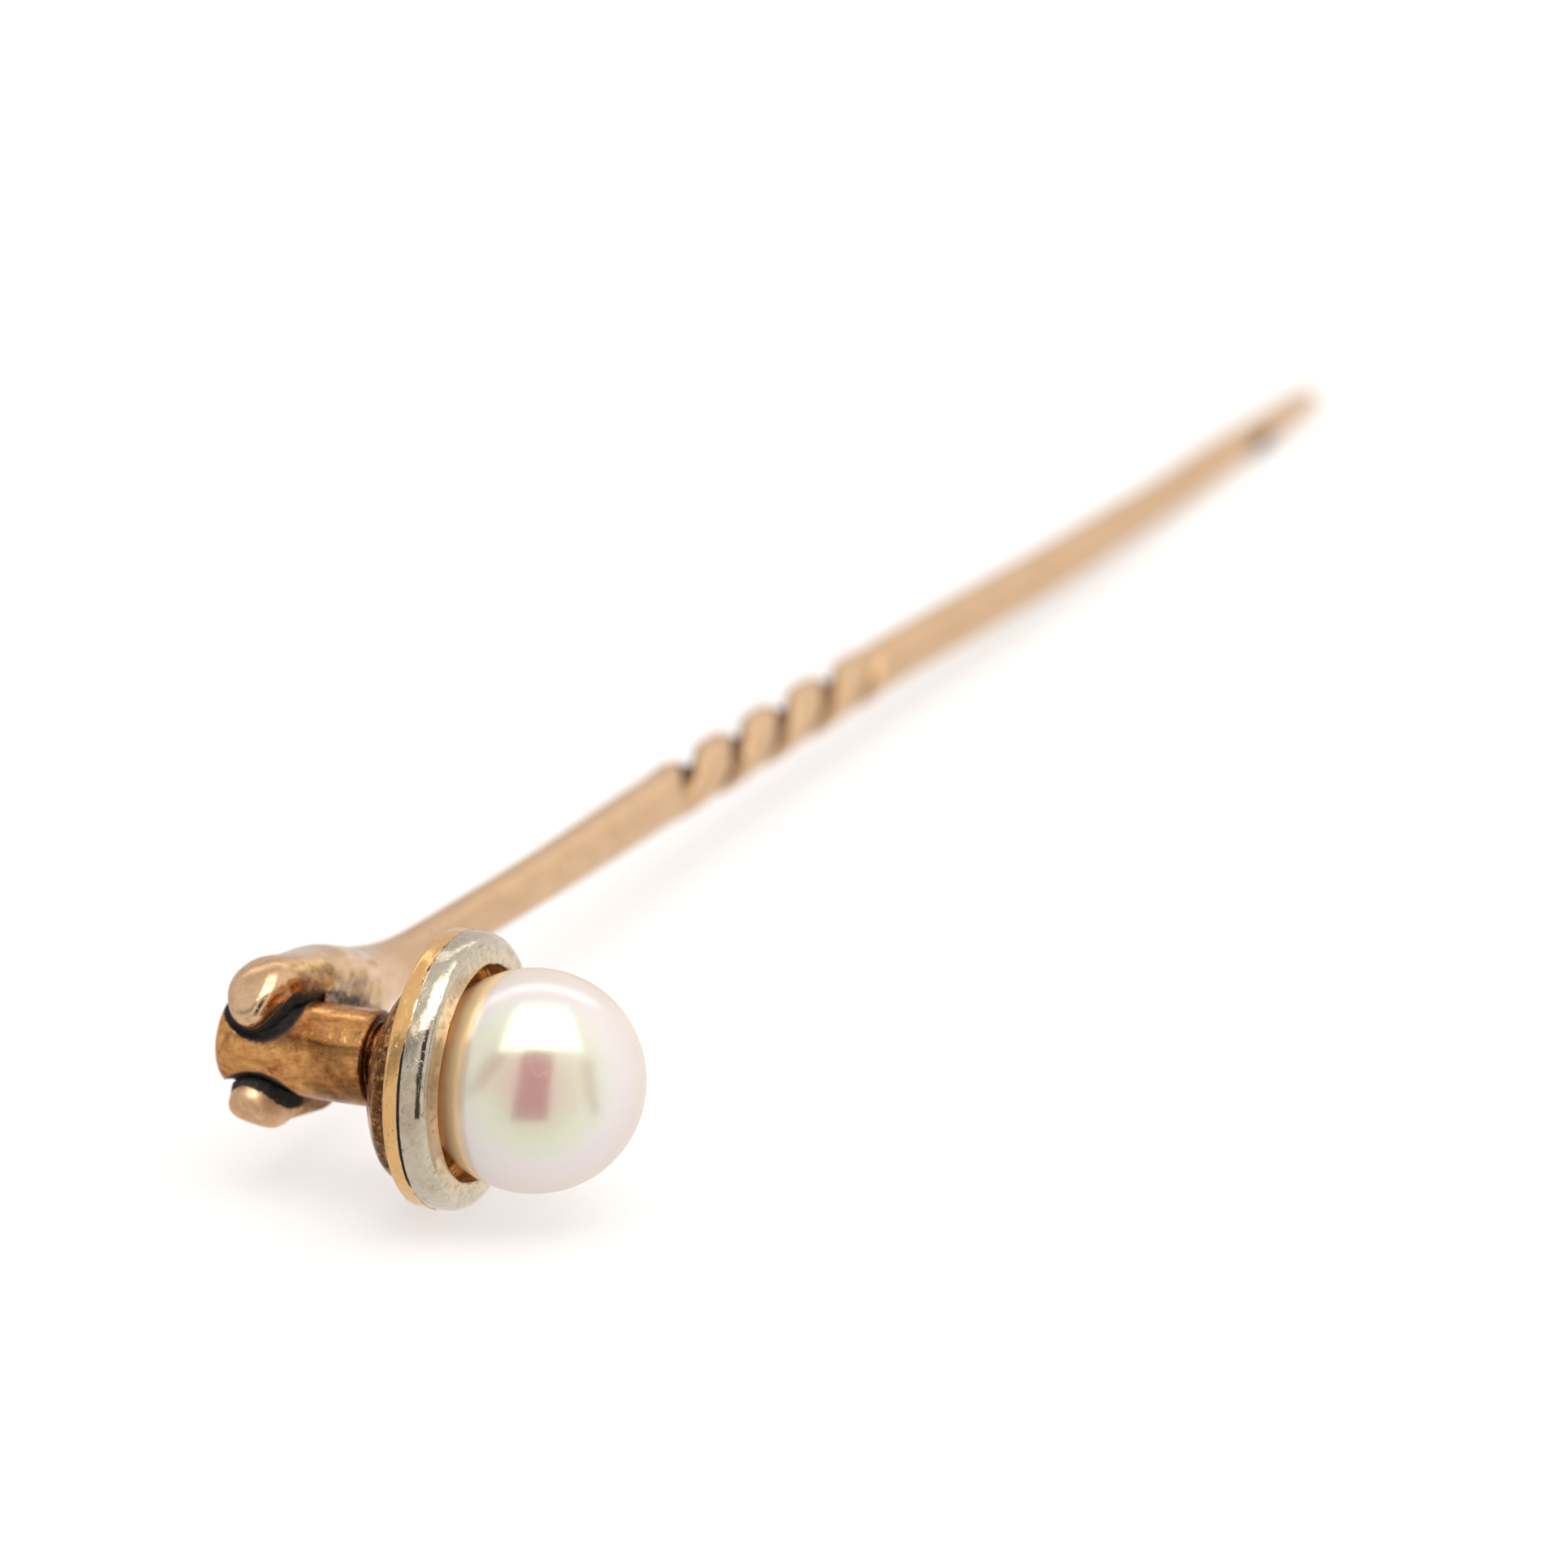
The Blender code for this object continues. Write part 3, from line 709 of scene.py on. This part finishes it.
def build_rim(material):
    seam = RIM_SEAM
    face = (
        (0.02, 0.0),
        (0.0, 0.03),
        (0.0, 0.2),
        (0.004, 0.33),
        (0.018, 0.43),
        (0.045, 0.51),
        (0.085, 0.575),
        (0.14, 0.625),
        (0.205, 0.655),
        (0.27, 0.668),
        (0.34, 0.674),
        (0.42, 0.692),
        (0.5, 0.716),
        (0.58, 0.738),
        (0.64, 0.75),
        (0.69, 0.745),
        (0.735, 0.715),
        (0.765, 0.66),
        (0.77, 0.58),
        (0.76, 0.45),
        (0.72, 0.3),
        (0.64, 0.15),
        (0.57, 0.05),
        (0.54, 0.0),
    )
    crest = seam + 0.76
    outline = [Vector((RIM_RADIUS - inset, seam + height)) for inset, height in face]
    smooth = []
    count = len(outline)
    for i in range(count):
        before, start, end, after = (outline[(i + k) % count] for k in (-1, 0, 1, 2))
        for k in range(4):
            t = k / 4
            smooth.append(0.5 * (
                2 * start
                + (end - before) * t
                + (2 * before - 5 * start + 4 * end - after) * t * t
                + (3 * start - before - 3 * end + after) * t ** 3
            ))

    def shape(x, z, angle, radius, station):
        wave = 0.014 * bumpy(x, 0, z, 1.4, 6.1)
        dent = 0.008 * bumpy(x, station, z, 0.3, 8.8)
        inner = ease((2.85 - radius) / 0.15)
        lumps = 0.03 * bumpy(x, station, z, 0.4, 0.7) * inner
        return min(radius + wave + dent + lumps, RIM_RADIUS), min(station + wave * 0.6, crest)

    def marks(angle, radius, station):
        at_seam = (1 - ease((station - seam) / 0.05)) * ease((radius - 3.2) / 0.1) * seam_dirt(angle)
        bevel = 0.4 * ease((3.1 - radius) / 0.12)
        inside = ease((crest - 0.1 - station) / 0.12) * ease((2.9 - radius) / 0.1)
        return at_seam, max(bevel, inside)

    return new_piece("rim", new_mesh("rim", *revolve(smooth, 320, True, shape, marks)), material)


def build_pearl(material):
    """Slightly out of round, as grown, and drilled at the back."""
    hole = 0.5
    mouth = math.acos(hole / PEARL_RADIUS)
    outline = []
    steps = 110
    for i in range(steps + 1):
        angle = math.pi / 2 - (math.pi / 2 + mouth) * i / steps
        radius = max(0.0, PEARL_RADIUS * math.cos(angle))
        outline.append(Vector((radius, PEARL_STATION + PEARL_RADIUS * math.sin(angle))))
    outline[0].x = 0.0
    outline.append(Vector((hole, PEARL_REAR + 0.9)))
    outline.append(Vector((0.0, PEARL_REAR + 0.9)))

    def shape(x, z, angle, radius, station):
        along = station - PEARL_STATION
        swell = 0.010 * bumpy(x, along, z, 2.6, 0.4) - 0.006
        near_hole = ease((radius - hole) / 0.4)
        grow = 1 + swell * near_hole / PEARL_RADIUS
        return radius * grow, PEARL_STATION + along * grow

    sides = 220
    return new_piece("pearl_skin", new_mesh("pearl_skin", *revolve(outline, sides, False, shape)), material)


def build_solder(material):
    """A lumpy, pitted run of solder in the corner between the fork and the tube."""
    foot = TUBE_RADIUS
    corner_y = -(PIN_STATION + BASE_OFFSET + BASE_HALF_WIDTH - 0.06)
    half_turn = math.radians(62.0)
    rings = []
    steps = 90
    for i in range(steps + 1):
        share = 2 * i / steps - 1
        angle = half_turn * share
        size = math.sqrt(max(0.02, 1 - share ** 6))
        ring = []
        sides = 14
        for j in range(sides):
            turn = math.pi / 2 * j / (sides - 3)
            if j < sides - 2:
                r = foot + 0.36 * size * (1 - math.cos(turn)) + 0.005
                y = corner_y - 0.42 * size * (1 - math.sin(turn))
            else:
                r = foot + (0.24 if j == sides - 2 else 0.005)
                y = corner_y + 0.04
            lump = 0.05 * bumpy(angle * 3, y, r, 0.3, 2.0) * size
            ring.append(((r + lump) * math.cos(angle), y - lump, (r + lump) * math.sin(angle)))
        rings.append(ring)
    return new_piece("solder_run", new_mesh("solder_run", *skin(rings)), material)


# ---------------------------------------------------------------- materials

class Shader:
    """A small builder of node trees. Coordinates are in millimetres in the pin's frame."""

    def __init__(self, name):
        self.material = bpy.data.materials.new(name)
        self.material.use_nodes = True
        self.nodes = self.material.node_tree.nodes
        self.links = self.material.node_tree.links
        self.surface = self.nodes["Principled BSDF"]
        place = self.nodes.new("ShaderNodeTexCoord")
        scale = self.nodes.new("ShaderNodeVectorMath")
        scale.operation = "SCALE"
        scale.inputs["Scale"].default_value = 1 / MM
        self.links.new(place.outputs["Object"], scale.inputs[0])
        turn = self.nodes.new("ShaderNodeVectorRotate")
        turn.rotation_type = "Y_AXIS"
        turn.inputs["Angle"].default_value = -REST_TIP
        self.links.new(scale.outputs[0], turn.inputs["Vector"])
        self.place = turn.outputs["Vector"]

    def put(self, socket, value):
        if isinstance(value, bpy.types.NodeSocket):
            self.links.new(value, socket)
        elif isinstance(value, tuple) and len(value) == 3 and socket.type == "RGBA":
            socket.default_value = (*value, 1.0)
        else:
            socket.default_value = value

    def set(self, **values):
        for name, value in values.items():
            self.put(self.surface.inputs[name.replace("_", " ")], value)

    def math(self, operation, a, b=0.0, clamp=False):
        node = self.nodes.new("ShaderNodeMath")
        node.operation = operation
        node.use_clamp = clamp
        self.put(node.inputs[0], a)
        self.put(node.inputs[1], b)
        return node.outputs[0]

    def stretch(self, scale, place=None):
        node = self.nodes.new("ShaderNodeVectorMath")
        node.operation = "MULTIPLY"
        self.put(node.inputs[0], place or self.place)
        node.inputs[1].default_value = scale
        return node.outputs[0]

    def noise(self, scale, detail=3.0, rough=0.5, place=None, bend=0.0):
        node = self.nodes.new("ShaderNodeTexNoise")
        self.put(node.inputs["Vector"], place or self.place)
        node.inputs["Scale"].default_value = scale
        node.inputs["Detail"].default_value = detail
        node.inputs["Roughness"].default_value = rough
        node.inputs["Distortion"].default_value = bend
        return node.outputs["Fac"]

    def cells(self, scale, feature="F1", place=None):
        node = self.nodes.new("ShaderNodeTexVoronoi")
        node.feature = feature
        self.put(node.inputs["Vector"], place or self.place)
        node.inputs["Scale"].default_value = scale
        return node.outputs["Distance"]

    def between(self, value, low, high, to_low=0.0, to_high=1.0):
        node = self.nodes.new("ShaderNodeMapRange")
        node.interpolation_type = "SMOOTHSTEP"
        self.put(node.inputs["Value"], value)
        self.put(node.inputs["From Min"], low)
        self.put(node.inputs["From Max"], high)
        self.put(node.inputs["To Min"], to_low)
        self.put(node.inputs["To Max"], to_high)
        return node.outputs["Result"]

    def mix(self, share, a, b, blend="MIX"):
        node = self.nodes.new("ShaderNodeMix")
        node.data_type = "RGBA"
        node.blend_type = blend
        self.put(node.inputs[0], share)
        self.put(node.inputs[6], a)
        self.put(node.inputs[7], b)
        return node.outputs[2]

    def layer(self, name):
        node = self.nodes.new("ShaderNodeAttribute")
        node.attribute_name = name
        return node.outputs["Fac"]

    def scratches(self, along, across, scale, thin):
        """Fine lines: the zero crossings of noise stretched along one direction."""
        lines = self.noise(scale, 1.0, 0.4, self.stretch((along, across, across)), 0.2)
        return self.between(self.math("ABSOLUTE", self.math("SUBTRACT", lines, 0.5)), 0.0, thin, 1.0, 0.0)

    def bump(self, height, distance, strength=1.0, under=None):
        node = self.nodes.new("ShaderNodeBump")
        node.inputs["Distance"].default_value = distance * MM
        node.inputs["Strength"].default_value = strength
        self.put(node.inputs["Height"], height)
        if under is not None:
            self.put(node.inputs["Normal"], under)
        return node.outputs["Normal"]


def metal(name, colour, deep, roughness, wear, dirt_colour, brown, streak=(1, 1, 1), smears=0.0, satin=0.0,
          chalky=0.0, scratched=0.25, honey=None, highlight_flecks=0.0):
    """Polished, worn precious metal: toned patches, fine scratches, pits, tarnishing, and dirt in its corners. The same
    marks also carry painted shade and a painted dark reflection on the tube, and painted shade and highlights on the
    cup.
    """
    s = Shader(name)
    patches = s.noise(0.9, 4.0, 0.6, s.stretch(streak))
    fine = s.noise(6.0, 4.0, 0.65, s.stretch(streak))
    tone = s.between(s.math("ADD", s.math("MULTIPLY", patches, 0.65), s.math("MULTIPLY", fine, 0.35)), 0.38, 0.64)
    along = s.nodes.new("ShaderNodeSeparateXYZ")
    s.put(along.inputs[0], s.place)
    calm = s.between(along.outputs["X"], 2.5, 8.0, 1.0, 0.4) if satin else 1.0
    base = s.mix(s.math("MULTIPLY", s.math("MULTIPLY", tone, wear, clamp=True), calm), colour, deep)
    pits = s.between(s.cells(5.0), 0.05, 0.11, 1.0, 0.0)
    rare = s.between(s.noise(2.2, 1.0), 0.56, 0.62)
    pits = s.math("MULTIPLY", pits, rare)
    lines = s.scratches(1.0, 3.4, 2.4, 0.012)
    other_lines = s.scratches(3.1, 0.9, 2.0, 0.010)
    lines = s.math("MAXIMUM", lines, other_lines)
    broken = s.between(s.noise(3.0, 2.0), 0.46, 0.6)
    lines = s.math("MULTIPLY", lines, broken)
    edge_noise = s.noise(6.0, 5.0, 0.7)
    ragged = s.math("MULTIPLY", s.math("SUBTRACT", edge_noise, 0.5), 1.0)
    grime_and_painted_shade = s.layer("grime_and_painted_shade")
    dirt = s.between(s.math("ADD", grime_and_painted_shade, s.math("MULTIPLY", ragged, s.between(grime_and_painted_shade, 0.0, 0.15))), 0.25, 0.62)
    tarnish_and_painted_light = s.layer("tarnish_and_painted_light")
    cloudy = s.math("MULTIPLY", s.math("SUBTRACT", s.noise(2.0, 5.0, 0.62), 0.5), 1.1)
    glaze = s.between(s.math("ADD", tarnish_and_painted_light, s.math("MULTIPLY", cloudy, s.between(tarnish_and_painted_light, 0.0, 0.15))), 0.15, 0.85)
    # Painted highlights: bright flecks where the toning is left off, standing in for glints.
    if highlight_flecks:
        bright = s.between(s.noise(6.5, 4.0, 0.7), 0.46, 0.68)
        glaze = s.math("MULTIPLY", glaze, s.math("SUBTRACT", 1.0, s.math("MULTIPLY", bright, highlight_flecks)))
    if honey:
        base = s.mix(s.between(glaze, 0.05, 0.5), base, honey)
    deep_glaze = s.between(glaze, 0.4, 0.9) if honey else glaze
    base = s.mix(deep_glaze, base, s.mix(s.between(fine, 0.48, 0.68), brown, tuple(c * 0.45 for c in brown)))
    base = s.mix(s.math("MULTIPLY", pits, 0.8), base, dirt_colour)
    base = s.mix(s.math("MULTIPLY", lines, scratched), base, tuple(0.3 * c for c in deep))
    if smears:
        film = s.math("ADD", s.noise(0.8, 3.0, 0.6, s.stretch((1.0, 0.5, 1.0))), s.math("MULTIPLY", grime_and_painted_shade, 0.5))
        film = s.math("MULTIPLY", s.between(film, 0.55, 0.8), smears)
        base = s.mix(film, base, tuple(0.35 * c + 0.03 for c in deep))
    base = s.mix(dirt, base, s.mix(s.between(edge_noise, 0.5, 0.7), dirt_colour, (0.10, 0.065, 0.042)))
    s.set(Base_Color=base)
    dull = s.math("ADD", s.math("MULTIPLY", dirt, 0.8), s.math("MULTIPLY", glaze, chalky), clamp=True)
    s.set(Metallic=s.math("SUBTRACT", 1.0, dull))
    rough = s.math("ADD", s.between(fine, 0.3, 0.7, roughness * 0.7, roughness * 1.5), s.math("MULTIPLY", lines, 0.12))
    if satin:
        on_shaft = s.between(along.outputs["X"], 2.5, 8.0)
        below = s.math("MULTIPLY", s.between(along.outputs["Z"], -0.5, -1.2), 1.8)
        rough = s.math("ADD", rough, s.math("MULTIPLY", s.math("MAXIMUM", on_shaft, below), satin))
        far = s.between(along.outputs["X"], 7.0, 13.0)
        base = s.mix(on_shaft, base, s.mix(far, (0.83, 0.83, 0.82), (0.90, 0.91, 0.88)), "MULTIPLY")
        s.set(Base_Color=base)
    rough = s.math("ADD", rough, s.math("ADD", s.math("MULTIPLY", dirt, 0.5), s.math("MULTIPLY", glaze, 0.15)), clamp=True)
    s.set(Roughness=rough)
    height = s.math("ADD", s.math("MULTIPLY", s.noise(2.6, 3.0), 1.0), s.math("MULTIPLY", fine, 0.12))
    height = s.math("MULTIPLY", height, calm)
    soft = s.bump(height, 0.016, wear)
    rubbed = s.math("MULTIPLY", edge_noise, s.math("MAXIMUM", dirt, glaze))
    sharp = s.math("SUBTRACT", rubbed, s.math("ADD", lines, s.math("MULTIPLY", pits, 4.0)))
    s.set(Normal=s.bump(sharp, 0.008, 0.8, soft))
    return s.material


def pearl_material():
    """Nacre: a mauve body under a strong, tinted sheen that turns from green-white to pink and peach."""
    s = Shader("nacre")
    facing = s.nodes.new("ShaderNodeLayerWeight")
    facing.inputs["Blend"].default_value = 0.5
    away = facing.outputs["Facing"]
    cloud = s.noise(0.45, 3.0, 0.5)
    away = s.math("ADD", away, s.math("MULTIPLY", s.math("SUBTRACT", cloud, 0.5), 0.12), clamp=True)
    ramp = s.nodes.new("ShaderNodeValToRGB")
    s.put(ramp.inputs["Fac"], away)
    stops = (
        (0.0, (0.74, 0.41, 0.40)),
        (0.06, (0.77, 0.54, 0.48)),
        (0.15, (0.81, 0.67, 0.60)),
        (0.27, (0.76, 0.68, 0.64)),
        (0.42, (0.71, 0.64, 0.62)),
        (0.62, (0.68, 0.60, 0.53)),
        (1.0, (0.66, 0.52, 0.38)),
    )
    for i, (at, colour) in enumerate(stops):
        stop = ramp.color_ramp.elements[i] if i < 2 else ramp.color_ramp.elements.new(at)
        stop.position = at
        stop.color = (*colour, 1.0)
    along = s.nodes.new("ShaderNodeSeparateXYZ")
    s.put(along.inputs[0], s.place)
    # Painted reflection: toward the rim the pearl's body and sheen turn orange-gold, standing in for the gold rim
    # reflected in it.
    gold_reflection_by_rim = s.between(along.outputs["Y"], -(PEARL_STATION - 0.62), -(PEARL_STATION - 1.02))
    s.set(Base_Color=s.mix(gold_reflection_by_rim, ramp.outputs["Color"], (1.0, 0.72, 0.44)))
    sheen = s.mix(s.between(away, 0.12, 0.4), (0.64, 1.0, 0.70), (1.0, 0.97, 1.0))
    sheen = s.mix(gold_reflection_by_rim, sheen, (1.0, 0.85, 0.66))
    s.set(Specular_Tint=sheen, Specular_IOR_Level=0.72)
    s.set(IOR=3.0)
    s.set(Subsurface_Weight=0.75, Subsurface_Scale=1.1 * MM)
    s.surface.inputs["Subsurface Radius"].default_value = (1.0, 0.6, 0.35)
    dull = s.between(s.noise(9.0, 3.0), 0.55, 0.75)
    s.set(Roughness=s.math("ADD", 0.18, s.math("MULTIPLY", dull, 0.08)))
    lines = s.scratches(0.8, 2.2, 1.2, 0.008)
    seldom = s.between(s.noise(1.1, 1.0), 0.55, 0.65)
    marks = s.math("MULTIPLY", lines, seldom)
    soft = s.bump(s.noise(1.3, 2.0), 0.02, 0.5)
    s.set(Normal=s.bump(s.math("SUBTRACT", 1.0, marks), 0.003, 0.6, soft))
    return s.material


def solder_material():
    s = Shader("old_solder")
    patches = s.noise(4.0, 4.0, 0.7)
    base = s.mix(s.between(patches, 0.4, 0.62), (0.11, 0.06, 0.062), (0.32, 0.19, 0.12))
    holes = s.between(s.cells(9.0), 0.1, 0.3, 1.0, 0.0)
    s.set(Base_Color=s.mix(holes, base, (0.03, 0.02, 0.02)))
    s.set(Metallic=0.6, Roughness=s.between(patches, 0.3, 0.7, 0.3, 0.65))
    s.set(Normal=s.bump(s.math("SUBTRACT", patches, s.math("MULTIPLY", holes, 0.6)), 0.03, 1.0))
    return s.material


def cement_material():
    s = Shader("old_cement")
    grain = s.noise(9.0, 5.0, 0.7)
    s.set(Base_Color=s.mix(s.between(grain, 0.35, 0.65), (0.80, 0.50, 0.26), (0.55, 0.32, 0.15)))
    s.set(Roughness=s.between(grain, 0.3, 0.7, 0.55, 0.85))
    s.set(Normal=s.bump(grain, 0.03, 0.8))
    return s.material


BLACK = (0.022, 0.020, 0.019)
BROWN = (0.34, 0.18, 0.085)
rose = metal("worn_rose_gold", (0.80, 0.53, 0.33), (0.59, 0.35, 0.185), 0.14, 0.8, BLACK, (0.36, 0.20, 0.10),
             satin=0.25, honey=(0.64, 0.40, 0.18))
brown = metal("worn_tube_gold", (0.79, 0.40, 0.145), (0.35, 0.115, 0.029), 0.12, 1.1, BLACK, (0.22, 0.095, 0.03),
              streak=(1.0, 0.6, 1.0), smears=0.8)
yellow = metal("worn_yellow_gold", (0.87, 0.53, 0.23), (0.78, 0.43, 0.15), 0.14, 0.6, BLACK, BROWN)
# The cup's toning is partly its own oxide and partly painted shade; its bright flecks are painted highlights.
dark = metal("tarnished_and_shaded_cup_gold", (0.76, 0.44, 0.17), (0.50, 0.24, 0.09), 0.15, 1.3, BLACK, (0.14, 0.06, 0.024),
             highlight_flecks=0.8)
white = metal("worn_white_gold", (0.63, 0.555, 0.44), (0.49, 0.385, 0.265), 0.13, 0.8, BLACK, (0.86, 0.60, 0.33),
              chalky=0.3, scratched=0.5)
cement = cement_material()


# ---------------------------------------------------------------- pieces

PIECES = (
    (build_stem(rose), "pin_stem", "rose_gold"),
    (build_solder(solder_material()), "fork_solder", "solder"),
    (build_tube(brown), "socket_tube", "tube_gold"),
    (build_cup(dark), "back_cup", "cup_gold"),
    (build_collet(yellow), "gold_collet", "yellow_gold"),
    (build_rim(white), "white_rim", "white_gold"),
    (build_pearl(pearl_material()), "pearl", "pearl"),
)
for piece, node, slot in PIECES:
    piece.data.transform(TO_ROW)
    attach(piece, "root")
    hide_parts(node)

for node, material in (("neck_stud", dark), ("pearl_peg", yellow), ("pearl_cement", cement)):
    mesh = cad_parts[node].data
    mesh.materials.clear()
    mesh.materials.append(material)


# ---------------------------------------------------------------- table, light and camera

CAMERA_AZIMUTH = math.radians(-67.65)
CAMERA_ELEVATION = math.radians(20.98)
CAMERA_ROLL = math.radians(0.75)
CAMERA_DISTANCE = 300.0 * MM
CAMERA_LENS = 282.3
CAMERA_AIM = Vector((6.88, -11.90, 5.72)) * MM
APERTURE = 5.3

back = Vector((
    math.sin(CAMERA_AZIMUTH) * math.cos(CAMERA_ELEVATION),
    -math.cos(CAMERA_AZIMUTH) * math.cos(CAMERA_ELEVATION),
    math.sin(CAMERA_ELEVATION),
))
right = Vector((0, 0, 1)).cross(back).normalized()
up = back.cross(right)

camera = bpy.data.objects.new("camera", bpy.data.cameras.new("camera"))
bpy.context.scene.collection.objects.link(camera)
turned_right = right * math.cos(CAMERA_ROLL) - up * math.sin(CAMERA_ROLL)
turned_up = back.cross(turned_right)
axes = Matrix((turned_right, turned_up, back)).transposed().to_4x4()
camera.matrix_world = Matrix.Translation(CAMERA_AIM + back * CAMERA_DISTANCE) @ axes
camera.data.sensor_width = 36.0
camera.data.lens = CAMERA_LENS
camera.data.clip_start = 10 * MM
camera.data.clip_end = 10.0
focus = bpy.data.objects.new("focus", None)
bpy.context.scene.collection.objects.link(focus)
focus.location = TO_ROW @ (Vector((-2.2, -6.4, 0.6)) * MM)
camera.data.dof.use_dof = True
camera.data.dof.focus_object = focus
camera.data.dof.aperture_fstop = CAMERA_LENS / APERTURE
bpy.context.scene.camera = camera


def build_table():
    half = 3.0
    mesh = bpy.data.meshes.new("table")
    corners = [(-half, -half, 0), (half, -half, 0), (half, half, 0), (-half, half, 0)]
    mesh.from_pydata(corners, [], [(0, 1, 2, 3)])
    table = bpy.data.objects.new("table", mesh)
    bpy.context.scene.collection.objects.link(table)
    table.location.z = TABLE_Z
    s = Shader("paper")
    s.set(Base_Color=(0.40, 0.385, 0.37), Roughness=0.95, Specular_IOR_Level=0.0)
    s.set(Emission_Color=(0.62, 0.605, 0.60), Emission_Strength=1.0)
    ray = s.nodes.new("ShaderNodeLightPath")
    clear = s.nodes.new("ShaderNodeBsdfTransparent")
    either = s.nodes.new("ShaderNodeMixShader")
    s.links.new(ray.outputs["Is Glossy Ray"], either.inputs[0])
    s.links.new(s.surface.outputs[0], either.inputs[1])
    s.links.new(clear.outputs[0], either.inputs[2])
    s.links.new(either.outputs[0], s.nodes["Material Output"].inputs["Surface"])
    mesh.materials.append(s.material)


class Room:
    """The studio round the object, drawn as it would show in a mirror ball seen by the camera.

    Places are (across, up) on the ball's disc, from -1 to 1."""

    def __init__(self):
        world = bpy.data.worlds.new("studio")
        bpy.context.scene.world = world
        world.use_nodes = True
        self.nodes = world.node_tree.nodes
        self.links = world.node_tree.links
        self.background = self.nodes["Background"]
        way = self.nodes.new("ShaderNodeTexCoord").outputs["Generated"]
        half = self.vector("NORMALIZE", self.vector("ADD", way, tuple(back)))
        self.across = self.dot(half, right)
        self.up = self.dot(half, up)
        self.height = self.dot(way, Vector((0, 0, 1)))

    def put(self, socket, value):
        if isinstance(value, bpy.types.NodeSocket):
            self.links.new(value, socket)
        else:
            socket.default_value = value

    def vector(self, operation, a, b=(0, 0, 0)):
        node = self.nodes.new("ShaderNodeVectorMath")
        node.operation = operation
        self.put(node.inputs[0], a)
        self.put(node.inputs[1], b)
        return node.outputs[0]

    def dot(self, a, b):
        node = self.nodes.new("ShaderNodeVectorMath")
        node.operation = "DOT_PRODUCT"
        self.put(node.inputs[0], a)
        self.put(node.inputs[1], tuple(b))
        return node.outputs["Value"]

    def math(self, operation, a, b=0.0, clamp=False):
        node = self.nodes.new("ShaderNodeMath")
        node.operation = operation
        node.use_clamp = clamp
        self.put(node.inputs[0], a)
        self.put(node.inputs[1], b)
        return node.outputs[0]

    def over(self, value, edge, soft):
        """1 where the value is above the edge, 0 below, with a soft change."""
        node = self.nodes.new("ShaderNodeMapRange")
        node.interpolation_type = "SMOOTHSTEP"
        self.put(node.inputs["Value"], value)
        node.inputs["From Min"].default_value = edge - soft / 2
        node.inputs["From Max"].default_value = edge + soft / 2
        return node.outputs["Result"]

    def slanted(self, lean):
        """Across, sheared so that a leaning edge becomes upright."""
        return self.math("SUBTRACT", self.across, self.math("MULTIPLY", self.up, lean))

    def panel(self, left, left_lean, right_edge, right_lean, low, high, soft, top_soft=None, arch=0.0):
        """A bright or dark panel between two leaning edges; its top edge can be arched and have its own softness."""
        inside = self.over(self.slanted(left_lean), left, soft)
        not_right = self.math("SUBTRACT", 1.0, self.over(self.slanted(right_lean), right_edge, soft))
        inside = self.math("MULTIPLY", inside, not_right)
        inside = self.math("MULTIPLY", inside, self.over(self.up, low, soft))
        bowed = self.math("MULTIPLY", self.math("MULTIPLY", self.across, self.across), arch)
        above = self.over(self.math("ADD", self.up, bowed), high, top_soft or soft)
        return self.math("MULTIPLY", inside, self.math("SUBTRACT", 1.0, above))

    def ring(self, centre, radius, width):
        x = self.math("SUBTRACT", self.across, centre[0])
        y = self.math("SUBTRACT", self.up, centre[1])
        far = self.math("SQRT", self.math("ADD", self.math("MULTIPLY", x, x), self.math("MULTIPLY", y, y)))
        off = self.math("ABSOLUTE", self.math("SUBTRACT", far, radius))
        return self.math("SUBTRACT", 1.0, self.over(off, width, width))


TENT = 0.88
SIDE = 0.2
SOFTBOX = 3.0
REAR_STRIP = 1.7
OPENING = 0.07
SEAM = 0.42
TOP_FALL = 0.12


def build_room():
    room = Room()
    light = room.math("MULTIPLY", room.math("ADD", room.math("MULTIPLY", room.across, SIDE), 1.0), TENT)
    top_fall = room.math("SUBTRACT", 1.0, room.math("MULTIPLY", room.over(room.up, 0.68, 0.2), TOP_FALL))
    light = room.math("MULTIPLY", light, top_fall)
    box = room.panel(-0.42, 0.44, 0.54, -0.36, 0.28, 0.64, 0.05, 0.2, 0.35)
    light = room.math("ADD", light, room.math("MULTIPLY", box, SOFTBOX - TENT))
    strip = room.math("MULTIPLY", room.ring((0.05, 0.0), 0.83, 0.028), room.over(room.up, 0.66, 0.1))
    light = room.math("ADD", light, room.math("MULTIPLY", strip, REAR_STRIP - TENT))
    opening = room.panel(-0.13, 0.2, 0.16, 0.08, -0.34, 0.27, 0.055)
    light = room.math("MULTIPLY", light, room.math("SUBTRACT", 1.0, room.math("MULTIPLY", opening, 1 - OPENING / TENT)))
    left_gap = room.panel(-0.55, 0.75, -0.40, 0.75, -0.1, 0.26, 0.11)
    right_gap = room.panel(0.45, -0.1, 0.56, -0.1, -0.3, 0.2, 0.1)
    gaps = room.math("MAXIMUM", left_gap, right_gap)
    light = room.math("MULTIPLY", light, room.math("SUBTRACT", 1.0, room.math("MULTIPLY", gaps, 1 - SEAM)))
    room.put(room.background.inputs["Strength"], light)
    room.background.inputs["Color"].default_value = (1.0, 0.99, 0.975, 1.0)


build_table()
build_room()
bpy.context.scene.view_settings.view_transform = "Standard"
bpy.context.scene.view_settings.look = "None"

bpy.context.view_layer.update()
